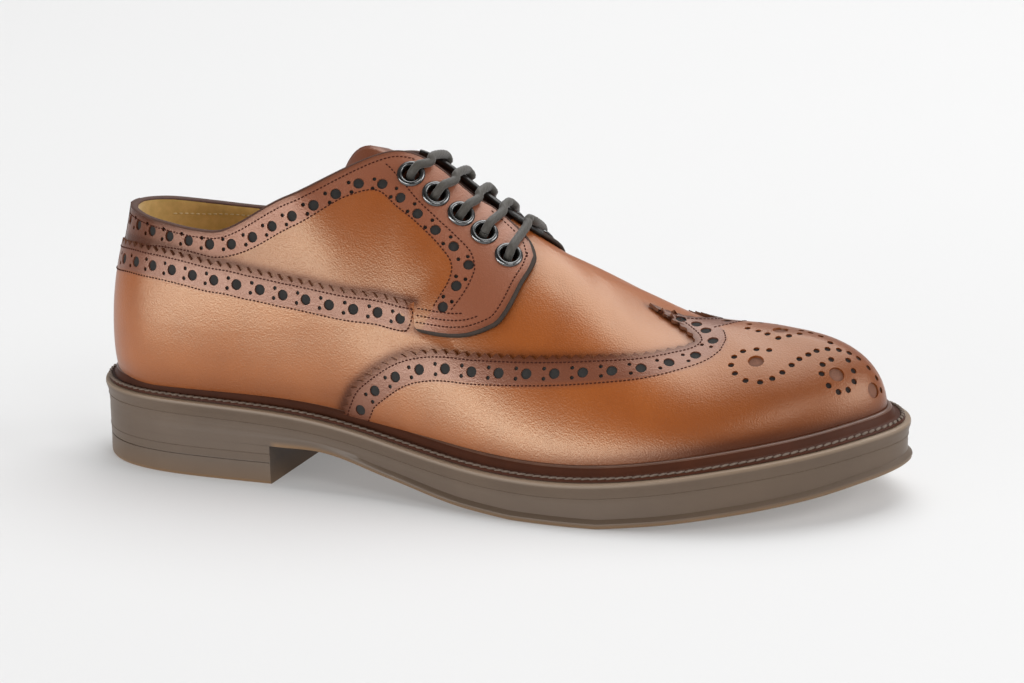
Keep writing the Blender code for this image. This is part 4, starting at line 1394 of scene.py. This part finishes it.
def braid(name, route, node):
    """A round cord along a route: a tube whose face rises and falls with its slanting strands."""
    centre = smooth_line(route, 24)
    at = np.arange(0, lengths(centre)[-1], 0.33)
    centre = points_at(centre, at)
    along = unit(np.gradient(centre, axis=0))
    side = unit(np.cross(along, LACE_UP))
    up = np.cross(side, along)
    angle = np.linspace(0, math.tau, 33)
    strand = math.tau * at[:, None] / STRAND_LENGTH
    weave = np.cos(STRANDS * angle[None, :] - strand)
    radius = LACE_RADIUS * (1 + STRAND_RELIEF * weave)
    ring = np.cos(angle)[None, :, None] * side[:, None] + np.sin(angle)[None, :, None] * up[:, None]
    bm = bmesh.new()
    add_sheet(bm, centre[:, None] + ring * radius[..., None])
    weld(bm, near=0.02)
    close_ends(bm)
    return add_piece(name, bm, [lace_cotton], [node], sharp=60)


for number, place in enumerate(EYELETS, 1):
    braid(f"lace_braid_{number}", lace_route(place), f"lace_bar_{number}")
print("lace bars", len(EYELETS))

# %% [markdown]
# ## Bound edges
#
# Leather that is turned or sealed at its edge shows a narrow dark roll there: round the collar's
# top, and along the facings. The far facing shows its black lining. Each roll is a flat oval swept
# along the edge, sunk into the leather so that only its outside stands clear.


# %% Rolls along edges
def roll(name, track, material, half_wide, half_high, sunk):
    """An oval swept along a line: wide along the leather's thickness, high across its edge."""
    angle = np.linspace(0, math.tau, 13)
    centre = track.point - track.normal * sunk
    points = (centre[:, None] + track.normal[:, None] * half_wide * np.cos(angle)[None, :, None]
              + track.aside[:, None] * half_high * np.sin(angle)[None, :, None])
    bm = bmesh.new()
    add_sheet(bm, points)
    weld(bm, near=0.005)
    close_ends(bm)
    return add_piece(name, bm, [material], sharp=60)


round_heel = [(station, 1.0) for station in (-5.1, -4.4, -3.6, -2.4, -1.2, 0.0, 1.2, 2.4, 3.6, 4.4, 5.1)]
roll("topline_roll", draw(round_heel, QUARTER, 1.0), raw_edge, half_wide=1.4, half_high=0.6, sunk=1.2)
CORNER = ((5.3, 0.492), (5.295, 0.46), (5.285, 0.435))
THROAT = ((6.05, 1.0), (5.8, 1.0), (5.5, 1.0), (5.1, 1.0))
for side, medial in NAMED_SIDES:
    front = draw(CORNER + FACING_EDGE[1:] + FACING_TOP[1:], QUARTER, 0.8, medial)
    roll(f"facing_roll_{side}", front, sealed_edge, half_wide=0.9, half_high=1.4, sunk=0.98)
    throat = draw(FACING_TOP[1:] + THROAT, QUARTER, 0.8, medial)
    if medial:
        roll(f"throat_roll_{side}", throat, black_binding, half_wide=1.3, half_high=2.4, sunk=1.1)
    else:
        roll(f"throat_roll_{side}", throat, raw_edge, half_wide=1.2, half_high=0.75, sunk=1.0)
print("edges bound")

# %% [markdown]
# ## Stitching
#
# Rows follow the pinked edges on both sides of the holes, the collar and the facings.

# %% All rows of stitches
bm = bmesh.new()
PITCH = 1.5
ROW_PLACES = (-2.9, -11.4)        # from a pinked edge
TOPLINE_SEAM = -2.4
# rows along the facing: distance from its edge, and the share of it that the row follows
FACING_SEAMS = ((2.3, 1.0), (4.7, 0.42), (7.2, 0.3))
FACING_TOP_SEAM = 2.4


def end_row(rows, profile, bulge=1.2):
    """A short curved row that joins the front ends of two rows."""
    first, last_one = rows
    middle = (first.point[-1] + last_one.point[-1]) / 2
    half = (first.point[-1] - last_one.point[-1]) / 2
    turn_by = np.linspace(0, math.pi, 12)[:, None]
    arc = middle + half * np.cos(turn_by) + first.along[-1] * bulge * np.sin(turn_by)
    share = (1 + np.cos(turn_by[:, 0])) / 2
    station = last_one.station[-1] + (first.station[-1] - last_one.station[-1]) * share
    height = last_one.height[-1] + (first.height[-1] - last_one.height[-1]) * share
    station, height = settle(arc, station, height, profile)
    return step_off(station, height, profile, first.medial, PITCH)


for number, medial in enumerate(SIDES):
    for distance in ROW_PLACES:
        stitch_row(bm, beside(wing_edges[number], distance, WING, PITCH))
    foxing_seams = [beside(foxing_edges[number], distance, FOXING, PITCH) for distance in ROW_PLACES]
    for row in foxing_seams + [end_row(foxing_seams, FOXING)]:
        stitch_row(bm, row)
    stitch_row(bm, draw(COLLAR_SEAM, QUARTER, PITCH, medial))
    stitch_row(bm, draw(BAND_FRONT_SEAM, QUARTER, PITCH, medial))
    stitch_row(bm, beside(toplines[number], TOPLINE_SEAM, QUARTER, PITCH))
    for distance, share in FACING_SEAMS:
        bottom = draw(FACING_EDGE, QUARTER, 0.8, medial)
        shorter = shortened(bottom, int(len(bottom.point) * share))
        stitch_row(bm, beside(shorter, distance, QUARTER, PITCH))
    stitch_row(bm, beside(facing_tops[number], FACING_TOP_SEAM, QUARTER, PITCH))
stitches = add_piece("upper_stitches", bm, [thread], sharp=80)

# the lining's seam shows as a pale row inside the far quarter
LINING = ((0.0, -1.25), (12.0, -1.25))
LINING_SEAM = ((1.2, 0.925), (1.84, 0.938), (2.27, 0.951), (2.68, 0.956), (2.91, 0.962), (3.12, 0.972))
bm = bmesh.new()
for medial in SIDES:
    seam = draw(LINING_SEAM, LINING, 2.2, medial)
    stitch_row(bm, seam._replace(normal=-seam.normal), length=1.6, width=0.7)
add_piece("lining_stitches", bm, [pale_thread], sharp=80)
print("stitch faces", len(stitches.data.polygons))

# %% [markdown]
# ## Welt and sole
#
# The welt is a leather strip sewn round the edge, with a raised bead against the upper and a
# seam of thick thread in a groove. The sole looks moulded in one piece: a lip, a plain side with
# fine moulding lines and a slightly flared tread.


# %% Rings round the sole
AROUND = np.linspace(0, ROUND, 361)


def ring(out, height):
    """Points round the sole, out from the lip's line, at a height."""
    plan, _ = outline(AROUND, out)
    return np.column_stack([plan, np.broadcast_to(height, len(AROUND))])


def stack(name, rings, material, nodes, front=None, sharp=35):
    """A closed solid of rings from top to bottom, its ends closed straight across.

    With a front, it is cut off there. The lip's top gets a painted highlight and the tread's edge an amber
    tint."""
    bm = bmesh.new()
    add_sheet(bm, np.stack(rings))
    half = (len(AROUND) - 1) // 2
    for end in (rings[0], rings[-1]):
        add_sheet(bm, np.stack([end[: half + 1], end[half:][::-1]], 1))
    weld(bm, near=0.002)
    if front is not None:
        everything = bm.verts[:] + bm.edges[:] + bm.faces[:]
        cut = metres((front, 0.0, 0.0))
        bmesh.ops.bisect_plane(bm, geom=everything, plane_co=cut, plane_no=(1, 0, 0), clear_outer=True)
        close_ends(bm)
    obj = add_piece(name, bm, [material], nodes, sharp)
    places = vertices_mm(obj)
    nearest = [plan_tree.find((x, y, 0.0))[1] for x, y, _ in places]
    ground = np.where(places[:, 0] < BREAST_X, 0.0, tread[nearest])
    # the lip's top gets a painted highlight; the tread's edge an amber tint
    paint(
        obj, band=0.8 * (1 - ramp(lip[nearest] - places[:, 2], 0.5, 1.5)),
        burnish=0.6 * (1 - ramp(places[:, 2] - ground, 0.4, 2.2)),
    )
    return obj


lip = lip_z(AROUND)
tread = np.maximum(tread_curve(AROUND), 0.0)
edge_out = flare(AROUND)
flat = np.ones(len(AROUND))
plan_tree = lookup(ring(0.0 * flat, 0.0))
print("rings of", len(AROUND), "points")

# %% Sole
SIDE, MIDSOLE, BREAST_X = -1.1, 8.0, 81.5
lip_profile = (
    (-1.3, 0.0), (-0.7, 0.05), (-0.2, 0.35), (0.0, 0.9), (0.0, 1.6), (-0.15, 2.2), (-0.42, 3.0), (-0.7, 4.0),
    (-0.95, 5.4), (-0.8, 5.5), (-0.8, 5.65), (-0.98, 5.75), (SIDE, 7.0), (SIDE, 8.05),
)
stack("midsole_rubber", [ring(out * flat, lip - depth) for out, depth in lip_profile], sole_rubber,
      ["midsole"])
top = lip - MIDSOLE
# over the heel the side runs straight down into the heel block; ahead of it the tread's edge flares
free = ramp(lip_x(AROUND), 82.0, 118.0)
edge_out = SIDE + (edge_out - SIDE) * free
outsole_rings = [
    ring((SIDE - 0.02) * flat, top),
    ring((SIDE - 0.1) * flat, top * 0.5 + (tread + 3.4) * 0.5), ring(SIDE - 0.15 * free, tread + 3.4),
    ring(SIDE * 0.4 + edge_out * 0.6, tread + 2.6), ring(edge_out - 0.1 * free, tread + 2.1),
    ring(edge_out, tread + 1.5), ring(edge_out - 0.25 * free, tread + 0.7),
    ring(edge_out - 0.9 * free, tread + 0.15), ring(edge_out - 1.6 * free, tread),
]
stack("outsole_rubber", outsole_rings, sole_rubber, ["outsole"])
heel_profile = (
    (SIDE, 14.55), (SIDE, 11.4), (SIDE + 0.14, 11.3), (SIDE + 0.14, 11.15), (SIDE, 11.05), (SIDE - 0.05, 8.3),
)
stack("heel_rubber", [ring(out * flat, up) for out, up in heel_profile], sole_rubber, ["heel"],
      front=BREAST_X)
lift_profile = (
    (SIDE - 0.45, 8.35), (SIDE - 0.4, 8.0), (SIDE - 0.05, 7.85), (SIDE + 0.1, 1.5), (SIDE, 0.6),
    (SIDE - 0.4, 0.1), (SIDE - 0.8, 0.0),
)
stack("top_lift_rubber", [ring(out * flat, up) for out, up in lift_profile], sole_rubber,
      ["top_lift"], front=BREAST_X)
print("sole stacked")

# %% Welt
# points of the strip's section: share of its width in from the lip, a step back out, and height
WELT_FLAT = (
    (1.0, 0.4, 0.3), (0.2, 0.0, 0.2), (0.22, 0.0, 0.9), (0.24, 0.0, 1.15), (0.26, 0.0, 0.95),
    (0.33, 0.0, 0.95), (0.37, 0.0, 1.2), (0.5, 0.0, 1.3), (0.55, 0.0, 1.9), (0.6, 0.0, 3.0), (0.66, 0.0, 4.0),
)
WELT_CROWN = ((0.66, 0.0, 4.0), (0.71, 0.0, 4.55), (0.77, 0.0, 4.75), (0.83, 0.1, 4.65))
WELT_BACK = ((0.83, 0.1, 4.65), (0.92, 0.4, 4.3), (1.0, 0.9, 3.6), (1.0, 0.4, 0.3))
WELT_SEAM, WELT_SEAM_UP = 0.295, 1.15
WELT_PITCH = 3.1
WELT_SLANT = 0.34        # the welt's stitches lie a little across their row
width = inset(AROUND)
bm = bmesh.new()
# the crown's faces take the lighter finish, a painted highlight along the bead
for part, finish in ((WELT_FLAT, 0), (WELT_CROWN, 1), (WELT_BACK, 0)):
    before = len(bm.faces)
    add_sheet(bm, np.stack([ring(back_by - share * width, lip + up) for share, back_by, up in part]))
    bm.faces.ensure_lookup_table()
    for face in bm.faces[before:]:
        face.material_index = finish
weld(bm, near=0.002)
add_piece("welt_strip", bm, [welt_leather, welt_crown_highlight], ["welt"], sharp=50)

finely = np.linspace(0, ROUND, 3001)
seam_plan, _ = outline(finely, -WELT_SEAM * inset(finely))
seam = np.column_stack([seam_plan, lip_z(finely) + WELT_SEAM_UP])
total = lengths(seam)[-1]
points = points_at(seam, np.linspace(0, total, int(total / WELT_PITCH), endpoint=False))
along = unit(np.roll(points, -1, 0) - np.roll(points, 1, 0))
normal = np.tile((0.0, 0.0, 1.0), (len(points), 1))
aside = np.cross(normal, along)
welt_track = Track(None, None, points, normal, along + WELT_SLANT * aside, aside, False)
bm = bmesh.new()
stitch_row(bm, welt_track, length=3.5, width=1.3, height=1.0, lift=0.1)
add_piece("welt_stitches", bm, [welt_thread], sharp=80)
print("welt stitches", len(points))

# %% Insole
INSOLE_CLEAR = 2.6
inside_out = -(width + INSOLE_CLEAR)
insole_rings = [
    ring(inside_out - 0.6, lip + 3.3), ring(inside_out, lip + 2.8), ring(inside_out, lip + 0.3),
]
stack("insole_sheet", insole_rings, insole_leather, ["insole"])
print("insole laid")
